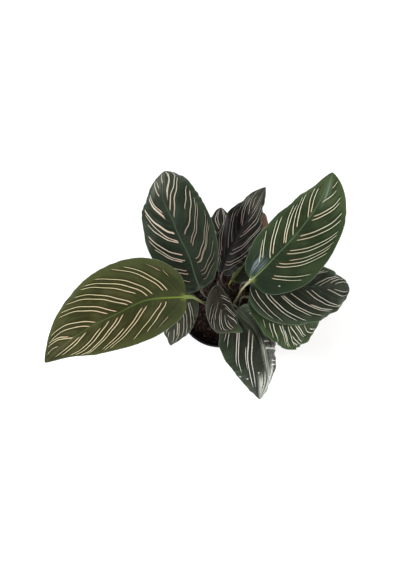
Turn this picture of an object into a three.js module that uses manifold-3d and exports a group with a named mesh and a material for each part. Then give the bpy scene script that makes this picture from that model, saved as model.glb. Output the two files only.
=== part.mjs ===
// Potted pinstripe calathea: a nursery pot, its soil and eleven leaves on bent stalks.
// Millimetres, +Z up. The origin is the centre of the pot's flat base, on the surface it stands on.
// +Y points away from the viewer, +X to the viewer's right.
import * as THREE from 'three';
import { mergeVertices } from 'three/addons/utils/BufferGeometryUtils.js';
import Module from 'manifold-3d';

const wasm = await Module();
wasm.setup();

// ---------------------------------------------------------------- driving dimensions

const GAP = 0.3; // clearance between pieces that touch

const POT = {
  height: 105,
  rimRadius: 60,
  baseRadius: 43,
  wall: 1.2,
  floor: 1.6,
  band: 10.5, // height of the wider band under the lip
  bandStep: 2.0, // how far the band stands out from the wall
  rimRoll: 0.8, // how far the rounded rim stands out from the band
  sides: 48,
  holeCount: 6,
  holeRadius: 4,
  holeCircle: 30,
};

const SOIL = {
  top: 90,
  edgeDrop: 4, // how much lower the soil is along the wall
  relief: 1.1,
  rings: 8,
  moundHeight: 3.5,
  moundRadius: 40,
  moundAt: [12, 8],
};

const STALK = {
  sides: 8,
  steps: 13,
  depth: 15, // how far a foot stands in the soil
  collar: 5, // straight length above the soil
  footRadius: 3.0,
  middleRadius: 1.6,
  topRadius: 2.1,
  footReach: 0.45, // length of the lower bend, as a part of the stalk's rise
  lean: 0.28, // how far the lower bend already leans to the blade, as a part of the way there
  joint: 2, // straight length at the blade
};

const BLADE = {
  thickness: 0.8,
  rows: 20,
  rowCrowding: 1.2, // rows lie closer together near the stalk
  columns: [-1, -0.66, -0.33, 0, 0.33, 0.66, 1],
  ribWidth: 1.5,
  ribDepth: 1.5,
  lobeAt: 0.035,
  lobeDepth: 0.03, // how far the lobes reach back past the stalk, as a part of the width
  fullCurlHalfWidth: 6,
};

// Each leaf starts at its base, where the stalk joins the blade, and runs along its midrib.
//   base     joint of stalk and blade          foot     where the stalk leaves the soil (x, y)
//   heading  compass angle of the midrib, counterclockwise from +X, and turn, its change to the tip
//   pitch    climb of the midrib at the base, and droop, how much the climb falls to the tip
//   roll     tilt of the blade across the midrib (left side up), and twist, its change to the tip
//   cup      angle at which both halves rise from the midrib, and arch, how far they bend down again
//   leftArch the left half's own arch; where it is below 0 that half curls up and over
//   uneven   how much wider the left half is than the right
//   baseFullness, tipTaper   exponents of the outline: smaller is fuller
//   waves    number, height and phase of the margin's waves
const LEAVES = [
  { name: 'leaf_01', base: [-46, -13, 247], foot: [1, 3], lean: 0.75, reach: 16, girth: 1.25,
    heading: -174, turn: 39, pitch: 17, droop: 31, length: 186, width: 99,
    roll: -9, twist: 8, cup: 7, arch: 18, uneven: -0.14, baseFullness: 0.46, tipTaper: 0.81,
    waves: [3, 1.6, 0.4], color: '#46572f' },
  { name: 'leaf_02', base: [-28, 4, 210], foot: [-3, 12], lean: 0.75, reach: 12, girth: 0.9,
    heading: 120, turn: -26, pitch: 39, droop: 76, length: 181, width: 89,
    roll: -4, twist: -15, cup: 7, arch: 19, uneven: -0.03, baseFullness: 0.49, tipTaper: 0.71,
    waves: [4, 3.2, 2.2], color: '#29392f' },
  { name: 'leaf_03', base: [2, 36, 163], foot: [15, 19], reach: 16, girth: 0.8,
    heading: 70, turn: -17, pitch: 40, droop: 18, length: 130, width: 63,
    roll: -33, twist: -6, cup: 9, arch: 18, uneven: 0.02, baseFullness: 0.54, tipTaper: 0.75,
    waves: [3, 2.6, 1.1], color: '#2b2724' },
  { name: 'leaf_04', base: [35, 11, 232], foot: [21, 3], reach: 20, girth: 0.95,
    heading: 37, turn: 30, pitch: 31, droop: 39, length: 172, width: 90,
    roll: -7, twist: -11, cup: 3, arch: 22, uneven: -0.11, baseFullness: 0.45, tipTaper: 0.78,
    waves: [4, 2.0, 0.0], color: '#30452f' },
  { name: 'leaf_05', base: [37, 14, 202], foot: [29, 10], reach: 18, girth: 0.95,
    heading: -7, turn: 19, pitch: 1, droop: 48, length: 165, width: 87,
    roll: 11, twist: 9, cup: 8, arch: 16, uneven: -0.16, baseFullness: 0.41, tipTaper: 0.78,
    waves: [5, 2.6, 2.9], color: '#232d28' },
  { name: 'leaf_06', base: [37, 0, 173], foot: [26, -6], reach: 14, girth: 0.9,
    heading: -17, turn: 15, pitch: -19, droop: 45, length: 159, width: 85,
    roll: -10, twist: 32, cup: 10, arch: 13, uneven: -0.15, baseFullness: 0.59, tipTaper: 0.69,
    waves: [4, 2.4, 1.0], color: '#33432d' },
  { name: 'leaf_07', base: [-5, 15, 184], foot: [8, 12], reach: 9, girth: 0.62,
    heading: -92, turn: 66, pitch: -7, droop: 37, length: 77, width: 42,
    roll: -4, twist: 4, cup: 1, arch: 25, uneven: -0.13, baseFullness: 0.75, tipTaper: 0.64,
    waves: [3, 1.2, 0.5], color: '#2f322c' },
  { name: 'leaf_08', base: [25, -8, 136], foot: [12, -5], reach: 12, girth: 0.9,
    heading: -48, turn: -58, pitch: 6, droop: 63, length: 157, width: 85,
    roll: -14, twist: -20, cup: -3, arch: 28, uneven: -0.26, baseFullness: 0.36, tipTaper: 0.86,
    waves: [4, 1.8, 2.0], color: '#26352c' },
  { name: 'leaf_09', base: [-44, 12, 150], foot: [-9, 20], reach: 12, girth: 0.66,
    heading: -114, turn: 5, pitch: -7, droop: 54, length: 91, width: 48,
    roll: -4, twist: -6, cup: 8, arch: 17, uneven: 0.03, baseFullness: 0.46, tipTaper: 0.77,
    waves: [3, 1.4, 2.6], color: '#3a3a31' },
  { name: 'leaf_10', base: [-2, 55, 138], foot: [5, 25], reach: 12, girth: 0.66,
    heading: 84, turn: 7, pitch: 16, droop: 43, length: 91, width: 47,
    roll: -2, twist: -3, cup: 11, arch: 14, uneven: 0, baseFullness: 0.49, tipTaper: 0.66,
    waves: [4, 2.6, 0.8], color: '#35382f' },
  { name: 'leaf_11', base: [16, 29, 150], foot: [24, 20], reach: 14, girth: 0.7,
    heading: 42, turn: 42, pitch: 30, droop: 4, length: 108, width: 48,
    roll: 4, twist: 0, cup: 4, arch: 14, leftArch: -165, uneven: 0, baseFullness: 0.55, tipTaper: 0.7,
    waves: [3, 0.8, 0], color: '#5c3325' },
];

const MATERIALS = {
  pot: new THREE.MeshStandardMaterial({ color: '#17171a', roughness: 0.45, metalness: 0 }),
  soil: new THREE.MeshStandardMaterial({ color: '#241a16', roughness: 0.95, metalness: 0 }),
  stalk: new THREE.MeshStandardMaterial({ color: '#7c8a45', roughness: 0.5, metalness: 0 }),
};

const radians = THREE.MathUtils.degToRad;
const lerp = THREE.MathUtils.lerp;

// ---------------------------------------------------------------- solids and booleans

// A closed mesh with shared vertices and no empty triangles.
function closedGeometry(positions, indices) {
  const raw = new THREE.BufferGeometry();
  raw.setAttribute('position', new THREE.Float32BufferAttribute(positions, 3));
  raw.setIndex(indices);
  return sharedVertices(raw);
}

function sharedVertices(geometry) {
  geometry.deleteAttribute('normal');
  geometry.deleteAttribute('uv');
  const merged = mergeVertices(geometry, 1e-4);
  const index = merged.index.array;
  const kept = [];
  for (let i = 0; i < index.length; i += 3) {
    const [a, b, c] = [index[i], index[i + 1], index[i + 2]];
    if (a !== b && b !== c && c !== a) kept.push(a, b, c);
  }
  merged.setIndex(kept);
  return merged;
}

function toSolid(geometry) {
  const vertProperties = new Float32Array(geometry.attributes.position.array);
  const triVerts = new Uint32Array(geometry.index.array);
  return new wasm.Manifold(new wasm.Mesh({ numProp: 3, vertProperties, triVerts }));
}

function fromSolid(solid) {
  const mesh = solid.getMesh();
  const geometry = new THREE.BufferGeometry();
  geometry.setAttribute('position', new THREE.BufferAttribute(mesh.vertProperties, 3));
  geometry.setIndex(new THREE.BufferAttribute(mesh.triVerts, 1));
  return geometry;
}

function cutAway(geometry, tools) {
  let solid = toSolid(geometry);
  for (const tool of tools) solid = solid.subtract(toSolid(tool));
  return fromSolid(solid);
}

// ---------------------------------------------------------------- pot

const wallTop = POT.height - POT.band;

// Radius of the wall's outer face below the band.
function wallRadius(z) {
  return lerp(POT.baseRadius, POT.rimRadius - POT.rimRoll - POT.bandStep, z / wallTop);
}

function potGeometry() {
  const { height, rimRadius, baseRadius, wall, floor, bandStep, rimRoll } = POT;
  const bandRadius = rimRadius - rimRoll;
  const profile = [
    [0, 0],
    [baseRadius - 1.5, 0],
    [baseRadius, 1.5],
    [wallRadius(wallTop - 1), wallTop - 1],
    [bandRadius, wallTop + 0.6],
    [rimRadius - 0.3, height - 2.2],
    [rimRadius, height - 1.2],
    [rimRadius - 0.5, height - 0.2],
    [rimRadius - 1.2, height],
    [rimRadius - 2.0, height - 0.5],
    [rimRadius - 2.2, height - 1.6],
    [bandRadius - wall, wallTop + 1.6],
    [bandRadius - bandStep - wall, wallTop - 0.4],
    [wallRadius(floor) - wall, floor],
    [0, floor],
  ];
  const points = profile.map(([r, z]) => new THREE.Vector2(r, z));
  const body = new THREE.LatheGeometry(points, POT.sides);
  body.rotateX(Math.PI / 2);
  return cutAway(sharedVertices(body), drainHoles());
}

function drainHoles() {
  const holes = [];
  for (let i = 0; i < POT.holeCount; i++) {
    const angle = (2 * Math.PI * i) / POT.holeCount;
    const hole = new THREE.CylinderGeometry(POT.holeRadius, POT.holeRadius, 4 * POT.floor, 16);
    hole.rotateX(Math.PI / 2);
    hole.translate(POT.holeCircle * Math.cos(angle), POT.holeCircle * Math.sin(angle), 0);
    holes.push(sharedVertices(hole));
  }
  return holes;
}

// ---------------------------------------------------------------- stalks

// Radius along a stalk: a sheathed foot, a slim middle and a thicker joint under the blade.
function stalkRadius(leaf, t) {
  const foot = lerp(STALK.footRadius, STALK.middleRadius, Math.min(1, t / 0.4));
  const joint = THREE.MathUtils.smoothstep(t, 0.8, 0.95);
  return leaf.girth * lerp(foot, STALK.topRadius, joint);
}

function stalkRoute(leaf) {
  const [x, y] = leaf.foot;
  const base = new THREE.Vector3(...leaf.base);
  const start = new THREE.Vector3(x, y, SOIL.top + STALK.collar);
  const arrival = midribFrame(leaf, 0).along;
  const end = base.clone().addScaledVector(arrival, -GAP - STALK.joint);
  const way = end.clone().sub(start);
  const lean = leaf.lean ?? STALK.lean;
  const lower = way.multiply(new THREE.Vector3(lean, lean, STALK.footReach)).add(start);
  const upper = end.clone().addScaledVector(arrival, -leaf.reach);
  return new THREE.CubicBezierCurve3(start, lower, upper, end);
}

function stalkGeometry(leaf) {
  const route = stalkRoute(leaf);
  const [x, y] = leaf.foot;
  const centres = [new THREE.Vector3(x, y, SOIL.top - STALK.depth)];
  const radii = [stalkRadius(leaf, 0)];
  for (let i = 0; i <= STALK.steps; i++) {
    centres.push(route.getPoint(i / STALK.steps));
    radii.push(stalkRadius(leaf, i / STALK.steps));
  }
  centres.push(centres.at(-1).clone().addScaledVector(midribFrame(leaf, 0).along, STALK.joint));
  radii.push(stalkRadius(leaf, 1));
  return tubeGeometry(centres, radii, STALK.sides);
}

// A closed tube through the centres; its end faces are square to the first and last stretch.
function tubeGeometry(centres, radii, sides) {
  const positions = [];
  const indices = [];
  const tangents = centres.map((point, i) => {
    const before = centres[Math.max(0, i - 1)];
    const after = centres[Math.min(centres.length - 1, i + 1)];
    return after.clone().sub(before).normalize();
  });
  const across = new THREE.Vector3(1, 0, 0);
  centres.forEach((centre, i) => {
    across.addScaledVector(tangents[i], -across.dot(tangents[i])).normalize();
    const other = new THREE.Vector3().crossVectors(tangents[i], across);
    for (let k = 0; k < sides; k++) {
      const angle = (2 * Math.PI * k) / sides;
      const point = centre.clone();
      point.addScaledVector(across, radii[i] * Math.cos(angle));
      point.addScaledVector(other, radii[i] * Math.sin(angle));
      positions.push(point.x, point.y, point.z);
    }
  });
  const last = centres.length - 1;
  for (let i = 0; i < last; i++) {
    for (let k = 0; k < sides; k++) {
      const a = i * sides + k;
      const b = i * sides + ((k + 1) % sides);
      indices.push(a, b, b + sides, a, b + sides, a + sides);
    }
  }
  for (let k = 1; k < sides - 1; k++) {
    indices.push(0, k + 1, k);
    indices.push(last * sides, last * sides + k, last * sides + k + 1);
  }
  return closedGeometry(positions, indices);
}

// ---------------------------------------------------------------- soil

// Uneven top: a low mound round the crown, with lumps.
function soilHeight(x, y) {
  const reach = Math.hypot(x - SOIL.moundAt[0], y - SOIL.moundAt[1]) / SOIL.moundRadius;
  const mound = SOIL.moundHeight * Math.exp(-reach * reach);
  const lumps = Math.sin(0.31 * x + 1.3) * Math.cos(0.27 * y - 0.4)
    + 0.6 * Math.sin(0.53 * x - 0.47 * y) + 0.4 * Math.cos(0.81 * y + 0.36 * x + 2);
  return SOIL.top - SOIL.edgeDrop / 2 + mound + SOIL.relief * lumps;
}

function soilGeometry() {
  const positions = [0, 0, soilHeight(0, 0)];
  const indices = [];
  const { sides } = POT;
  const ring = (radius, height) => {
    for (let k = 0; k < sides; k++) {
      const angle = (2 * Math.PI * k) / sides;
      const x = radius * Math.sin(angle);
      const y = -radius * Math.cos(angle);
      positions.push(x, y, height(x, y));
    }
  };
  const edge = SOIL.top - SOIL.edgeDrop;
  const radiusAt = (z) => wallRadius(z) - POT.wall - GAP;
  const bottom = POT.floor + GAP;
  for (let i = 1; i < SOIL.rings; i++) ring((radiusAt(edge) * i) / SOIL.rings, soilHeight);
  ring(radiusAt(edge), () => edge);
  ring(radiusAt(bottom), () => bottom);
  const rings = SOIL.rings + 1;
  for (let k = 0; k < sides; k++) {
    const next = (k + 1) % sides;
    indices.push(0, 1 + k, 1 + next);
    for (let i = 0; i < rings - 1; i++) {
      const a = 1 + i * sides;
      const b = a + sides;
      indices.push(a + k, b + k, b + next, a + k, b + next, a + next);
    }
  }
  const lowest = 1 + (rings - 1) * sides;
  const centre = positions.length / 3;
  positions.push(0, 0, bottom);
  for (let k = 0; k < sides; k++) indices.push(centre, lowest + ((k + 1) % sides), lowest + k);
  return cutAway(closedGeometry(positions, indices), LEAVES.map(socketGeometry));
}

// The plain hole that a stalk stands in.
function socketGeometry(leaf) {
  const [x, y] = leaf.foot;
  const radius = (stalkRadius(leaf, 0) + GAP) / Math.cos(Math.PI / STALK.sides);
  const ends = [SOIL.top - STALK.depth - GAP, SOIL.top + STALK.collar];
  return tubeGeometry(ends.map((z) => new THREE.Vector3(x, y, z)), [radius, radius], STALK.sides);
}

// ---------------------------------------------------------------- blades

// Position and directions of the midrib at s, from 0 at the base to 1 at the tip.
function midribFrame(leaf, s) {
  const steps = Math.max(1, Math.round(120 * s));
  const point = new THREE.Vector3(...leaf.base);
  for (let i = 0; i < steps; i++) {
    const middle = (s * (i + 0.5)) / steps;
    point.addScaledVector(midribDirection(leaf, middle), (leaf.length * s) / steps);
  }
  const along = midribDirection(leaf, s);
  const heading = radians(leaf.heading + leaf.turn * s);
  const level = new THREE.Vector3(-Math.sin(heading), Math.cos(heading), 0);
  const roll = radians(leaf.roll + leaf.twist * s);
  const left = level.applyAxisAngle(along, roll);
  const up = new THREE.Vector3().crossVectors(along, left);
  return { point, along, left, up };
}

function midribDirection(leaf, s) {
  const heading = radians(leaf.heading + leaf.turn * s);
  const pitch = radians(leaf.pitch - leaf.droop * s);
  return new THREE.Vector3(
    Math.cos(heading) * Math.cos(pitch),
    Math.sin(heading) * Math.cos(pitch),
    Math.sin(pitch),
  );
}

// Half of the blade's width at s: round at the base, widest before the middle, pointed at the tip.
function halfWidth(leaf, s) {
  const { baseFullness: a, tipTaper: b } = leaf;
  const widest = a / (a + b);
  const outline = (s ** a * (1 - s) ** b) / (widest ** a * (1 - widest) ** b);
  return (leaf.width / 2) * outline;
}

// A point of the blade's middle surface. v runs from -1, the right margin, to 1, the left one.
function bladePoint(leaf, frame, s, v) {
  const u = Math.abs(v);
  const side = 1 + leaf.uneven * Math.sign(v);
  const half = halfWidth(leaf, s) * side;
  const bending = v > 0 ? leaf.leftArch ?? leaf.arch : leaf.arch;
  const arch = radians(bending) * Math.min(1, half / BLADE.fullCurlHalfWidth);
  const bend = Math.max(1e-6, Math.abs(arch * u) / 2);
  const chord = half * u * (Math.sin(bend) / bend);
  const angle = radians(leaf.cup) - (arch * u) / 2;
  const [count, height, phase] = leaf.waves;
  const wave = height * Math.sin(2 * Math.PI * count * s + phase + 1.7 * Math.sign(v)) * u ** 3;
  const ease = Math.min(1, 6 * s, 4 * (1 - s));
  const nearLobe = (s / BLADE.lobeAt) * Math.exp(1 - s / BLADE.lobeAt);
  const lobe = BLADE.lobeDepth * leaf.width * nearLobe * v * v;
  return frame.point.clone()
    .addScaledVector(frame.left, Math.sign(v) * chord * Math.cos(angle))
    .addScaledVector(frame.up, chord * Math.sin(angle) + wave * ease)
    .addScaledVector(frame.along, -lobe);
}

function bladeColumns(leaf, s) {
  const half = halfWidth(leaf, s);
  const rib = Math.min(0.16, BLADE.ribWidth / Math.max(half, 1e-3));
  return BLADE.columns.flatMap((v) => (v === 0 ? [-rib, 0, rib] : [v]));
}

function bladeNormal(leaf, frame, s, v) {
  const step = 1e-3;
  const inside = THREE.MathUtils.clamp(v, -0.98, 0.98);
  const nudge = inside === 0 ? 0.02 : Math.abs(inside) * 0.1;
  const before = bladePoint(leaf, frame, s, inside - nudge);
  const after = bladePoint(leaf, frame, s, inside + nudge);
  const further = bladePoint(leaf, midribFrame(leaf, s + step), s + step, inside);
  const here = bladePoint(leaf, frame, s, inside);
  return further.sub(here).cross(after.sub(before)).normalize();
}

// Both faces have the same rows, columns and diagonals; a ridge under the midrib fades to the tip.
function bladeGeometry(leaf) {
  const positions = [];
  const indices = [];
  const width = BLADE.columns.length + 2;
  const middle = (width - 1) / 2;
  const addVertex = (point) => positions.push(point.x, point.y, point.z);
  const addPair = (point, normal, rib) => {
    addVertex(point.clone().addScaledVector(normal, BLADE.thickness / 2));
    addVertex(point.clone().addScaledVector(normal, -BLADE.thickness / 2 - rib));
  };
  const base = midribFrame(leaf, 0);
  addPair(base.point, base.up, BLADE.ribDepth * leaf.girth);
  for (let i = 1; i < BLADE.rows; i++) {
    const s = (i / BLADE.rows) ** BLADE.rowCrowding;
    const frame = midribFrame(leaf, s);
    bladeColumns(leaf, s).forEach((v, k) => {
      const rib = k === middle ? BLADE.ribDepth * leaf.girth * (1 - s) ** 0.6 : 0;
      addPair(bladePoint(leaf, frame, s, v), bladeNormal(leaf, frame, s, v), rib);
    });
  }
  const tip = midribFrame(leaf, 1);
  addPair(tip.point, tip.up, 0);

  const top = (row, k) => 2 * (1 + (row - 1) * width + k);
  const tipTop = top(BLADE.rows, 0);
  const face = (a, b, c) => indices.push(a, b, c, a + 1, c + 1, b + 1);
  for (let k = 0; k < width - 1; k++) {
    face(0, top(1, k), top(1, k + 1));
    face(tipTop, top(BLADE.rows - 1, k + 1), top(BLADE.rows - 1, k));
    for (let row = 1; row < BLADE.rows - 1; row++) {
      const corners = [top(row, k), top(row, k + 1), top(row + 1, k + 1), top(row + 1, k)];
      const [a, b, c, d] = corners;
      if (k < middle) {
        face(a, d, b);
        face(b, d, c);
      } else {
        face(a, d, c);
        face(a, c, b);
      }
    }
  }
  for (const k of [0, width - 1]) {
    const edge = [0];
    for (let row = 1; row < BLADE.rows; row++) edge.push(top(row, k));
    edge.push(tipTop);
    for (let i = 0; i < edge.length - 1; i++) {
      const [a, b] = k === 0 ? [edge[i], edge[i + 1]] : [edge[i + 1], edge[i]];
      indices.push(a, a + 1, b + 1, a, b + 1, b);
    }
  }
  return closedGeometry(positions, indices);
}

// ---------------------------------------------------------------- the plant in its pot

function namedMesh(name, geometry, material) {
  geometry.computeVertexNormals();
  const mesh = new THREE.Mesh(geometry, material);
  mesh.name = name;
  return mesh;
}

const calathea = new THREE.Group();
calathea.name = 'potted_calathea';
calathea.add(namedMesh('pot', potGeometry(), MATERIALS.pot));
calathea.add(namedMesh('soil', soilGeometry(), MATERIALS.soil));
for (const leaf of LEAVES) {
  const skin = new THREE.MeshStandardMaterial({ color: leaf.color, roughness: 0.45, metalness: 0 });
  calathea.add(namedMesh(`${leaf.name}_blade`, bladeGeometry(leaf), skin));
  calathea.add(namedMesh(`${leaf.name}_stalk`, stalkGeometry(leaf), MATERIALS.stalk));
}

export default calathea;
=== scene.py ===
# Potted pinstripe calathea: fine leaves, stalks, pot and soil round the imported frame.
# Sizes are in millimetres, as in the part's source, and become metres when a mesh is made.
import math
import random

import bmesh
import bpy
import numpy as np
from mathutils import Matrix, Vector, noise


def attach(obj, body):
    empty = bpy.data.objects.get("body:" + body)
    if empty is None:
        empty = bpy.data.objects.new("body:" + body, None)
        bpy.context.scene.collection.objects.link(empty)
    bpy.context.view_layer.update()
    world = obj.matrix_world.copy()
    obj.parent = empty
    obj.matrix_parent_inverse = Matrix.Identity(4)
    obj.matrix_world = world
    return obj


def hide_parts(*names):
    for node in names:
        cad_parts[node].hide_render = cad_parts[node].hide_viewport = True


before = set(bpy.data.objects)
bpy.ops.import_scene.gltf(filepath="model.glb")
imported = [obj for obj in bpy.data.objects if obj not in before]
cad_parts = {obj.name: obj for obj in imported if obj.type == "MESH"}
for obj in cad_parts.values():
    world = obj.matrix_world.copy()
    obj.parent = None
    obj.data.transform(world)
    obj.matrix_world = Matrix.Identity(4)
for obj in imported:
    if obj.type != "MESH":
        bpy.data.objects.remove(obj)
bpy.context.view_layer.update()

MM = 0.001

# ---------------------------------------------------------------- driving dimensions

GAP = 0.3

POT = dict(
    height=105, rim_radius=60, base_radius=43, wall=1.2, floor=1.6, band=10.5, band_step=2.0,
    rim_roll=0.8, segments=160, hole_count=6, hole_radius=4, hole_circle=30,
)

SOIL = dict(
    top=90, edge_drop=4, relief=1.1, mound_height=3.5, mound_radius=40, mound_at=(12, 8),
    rings=70, segments=220,
)

STALK = dict(
    sides=20, steps=64, depth=15, collar=5, foot_radius=3.0, middle_radius=1.3, top_radius=1.8,
    foot_reach=0.45, lean=0.28, joint=2, tail=0.055, tail_steps=6,
)

BLADE = dict(
    thickness=0.5, row_spacing=0.85, column_spacing=1.25, lobe_at=0.035, lobe_depth=0.03,
    full_curl_half_width=6, rib_depth=1.5, rib_width=1.3, groove=0.35, groove_width=1.6,
    fine_veins=2.1, quilt_height=0.32, quilt_spacing=7.5, buckle=0.7, frill_wave=2.1,
    frill_drift=17, frill_swell=9,
)

BAKE_MAP = dict(upper_face=0.25, underside=0.75, breadth=0.46, margin=0.02, skirt=0.004)
FIBRES = dict(count=70, reach=38, steps=9, sides=5)

# Each leaf starts at its base, where the stalk joins the blade, and runs along its midrib. The
# shapes are the source's, but leaf_02's waves are lower, and leaf_11 is longer and turned further.
#   base     joint of stalk and blade          foot     where the stalk leaves the soil
#   lean     how soon the stalk leans over     reach    how long it runs in line with the blade
#   girth    thickness of stalk and midrib, where 1 is usual
#   heading  compass angle of the midrib, counterclockwise from +X, and turn, its change to the tip
#   pitch    climb of the midrib at the base, and droop, how much the climb falls to the tip
#   roll     tilt of the blade across the midrib (left side up), and twist, its change to the tip
#   cup      angle at which both halves rise from the midrib, and arch, how far they bend down again
#   left_arch   the left half's own arch; below 0 that half curls up and over
#   uneven   how much wider the left half is than the right
#   fullness, taper   exponents of the outline at base and tip: smaller is fuller
#   waves    number, height and phase of the margin's waves
# What is finer here:
#   sway     how far the midrib wanders to the left half at 1/4, 2/4, 3/4 and 4/4 of the blade
#   trim     how much wider the left and the right half are at 0.1, 0.3, 0.5, 0.7 and 0.9 of the
#            blade, in hundredths
#   bend     how much the stripes that start at BEND_AT curve, left and right; 1 is straight
#   ruffle   the height of the small waves in the left and right margin
#   wobble   how far the stripes of the left and right half waver
#   point    how far the tip is drawn out
#   shine    how much light the face mirrors
#   ground   the blade's colour in its dark and light places, and at its margin
#   rib, stalk   the midrib's colour at its base and further out, and the stalk's, low and high
#   seam     the dark line beside each stripe
#   ink      the stripes' colour at the midrib and at the margin, and their width
#   tone     painted light on the stripes of the left and right half: above 0 a painted highlight whitens them, below 0 painted shade dulls them
#   gloss    painted highlights and reflections, as pale streaked patches: along from and to, across from and to, colour, strength
#   specks   white specks: along, across, strength
#   washes   colours that grow along the blade: colour, where it starts, where it is full, strength
#   underside   the back's colour in its dark and light places and on its fine veins, if not
#            WINE_RED
#   left, right, both   a half's stripes: (along, across) where one starts by the midrib and where
#            it ends by the margin, along from 0 at the base to 1 at the tip, across 1 at the
#            margin, and how broad it is if not 1
TRIM_AT = (0, 0.1, 0.3, 0.5, 0.7, 0.9, 1)
SWAY_AT = (0, 0.25, 0.5, 0.75, 1)
BEND_AT = (0, 0.2, 0.4, 0.6, 0.8)
EVEN_BEND = (2.0, 1.6, 1.4, 1.2, 1.0)
WINE_RED = ("3a1720", "542630", "66403a")
HIDDEN_STRIPES = [  # near a base that lies under other leaves
    (0.1, 0.15, 0.3, 0.82), (0.13, 0.15, 0.36, 0.86), (0.25, 0.12, 0.5, 0.85),
    (0.285, 0.12, 0.56, 0.88),
]

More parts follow.
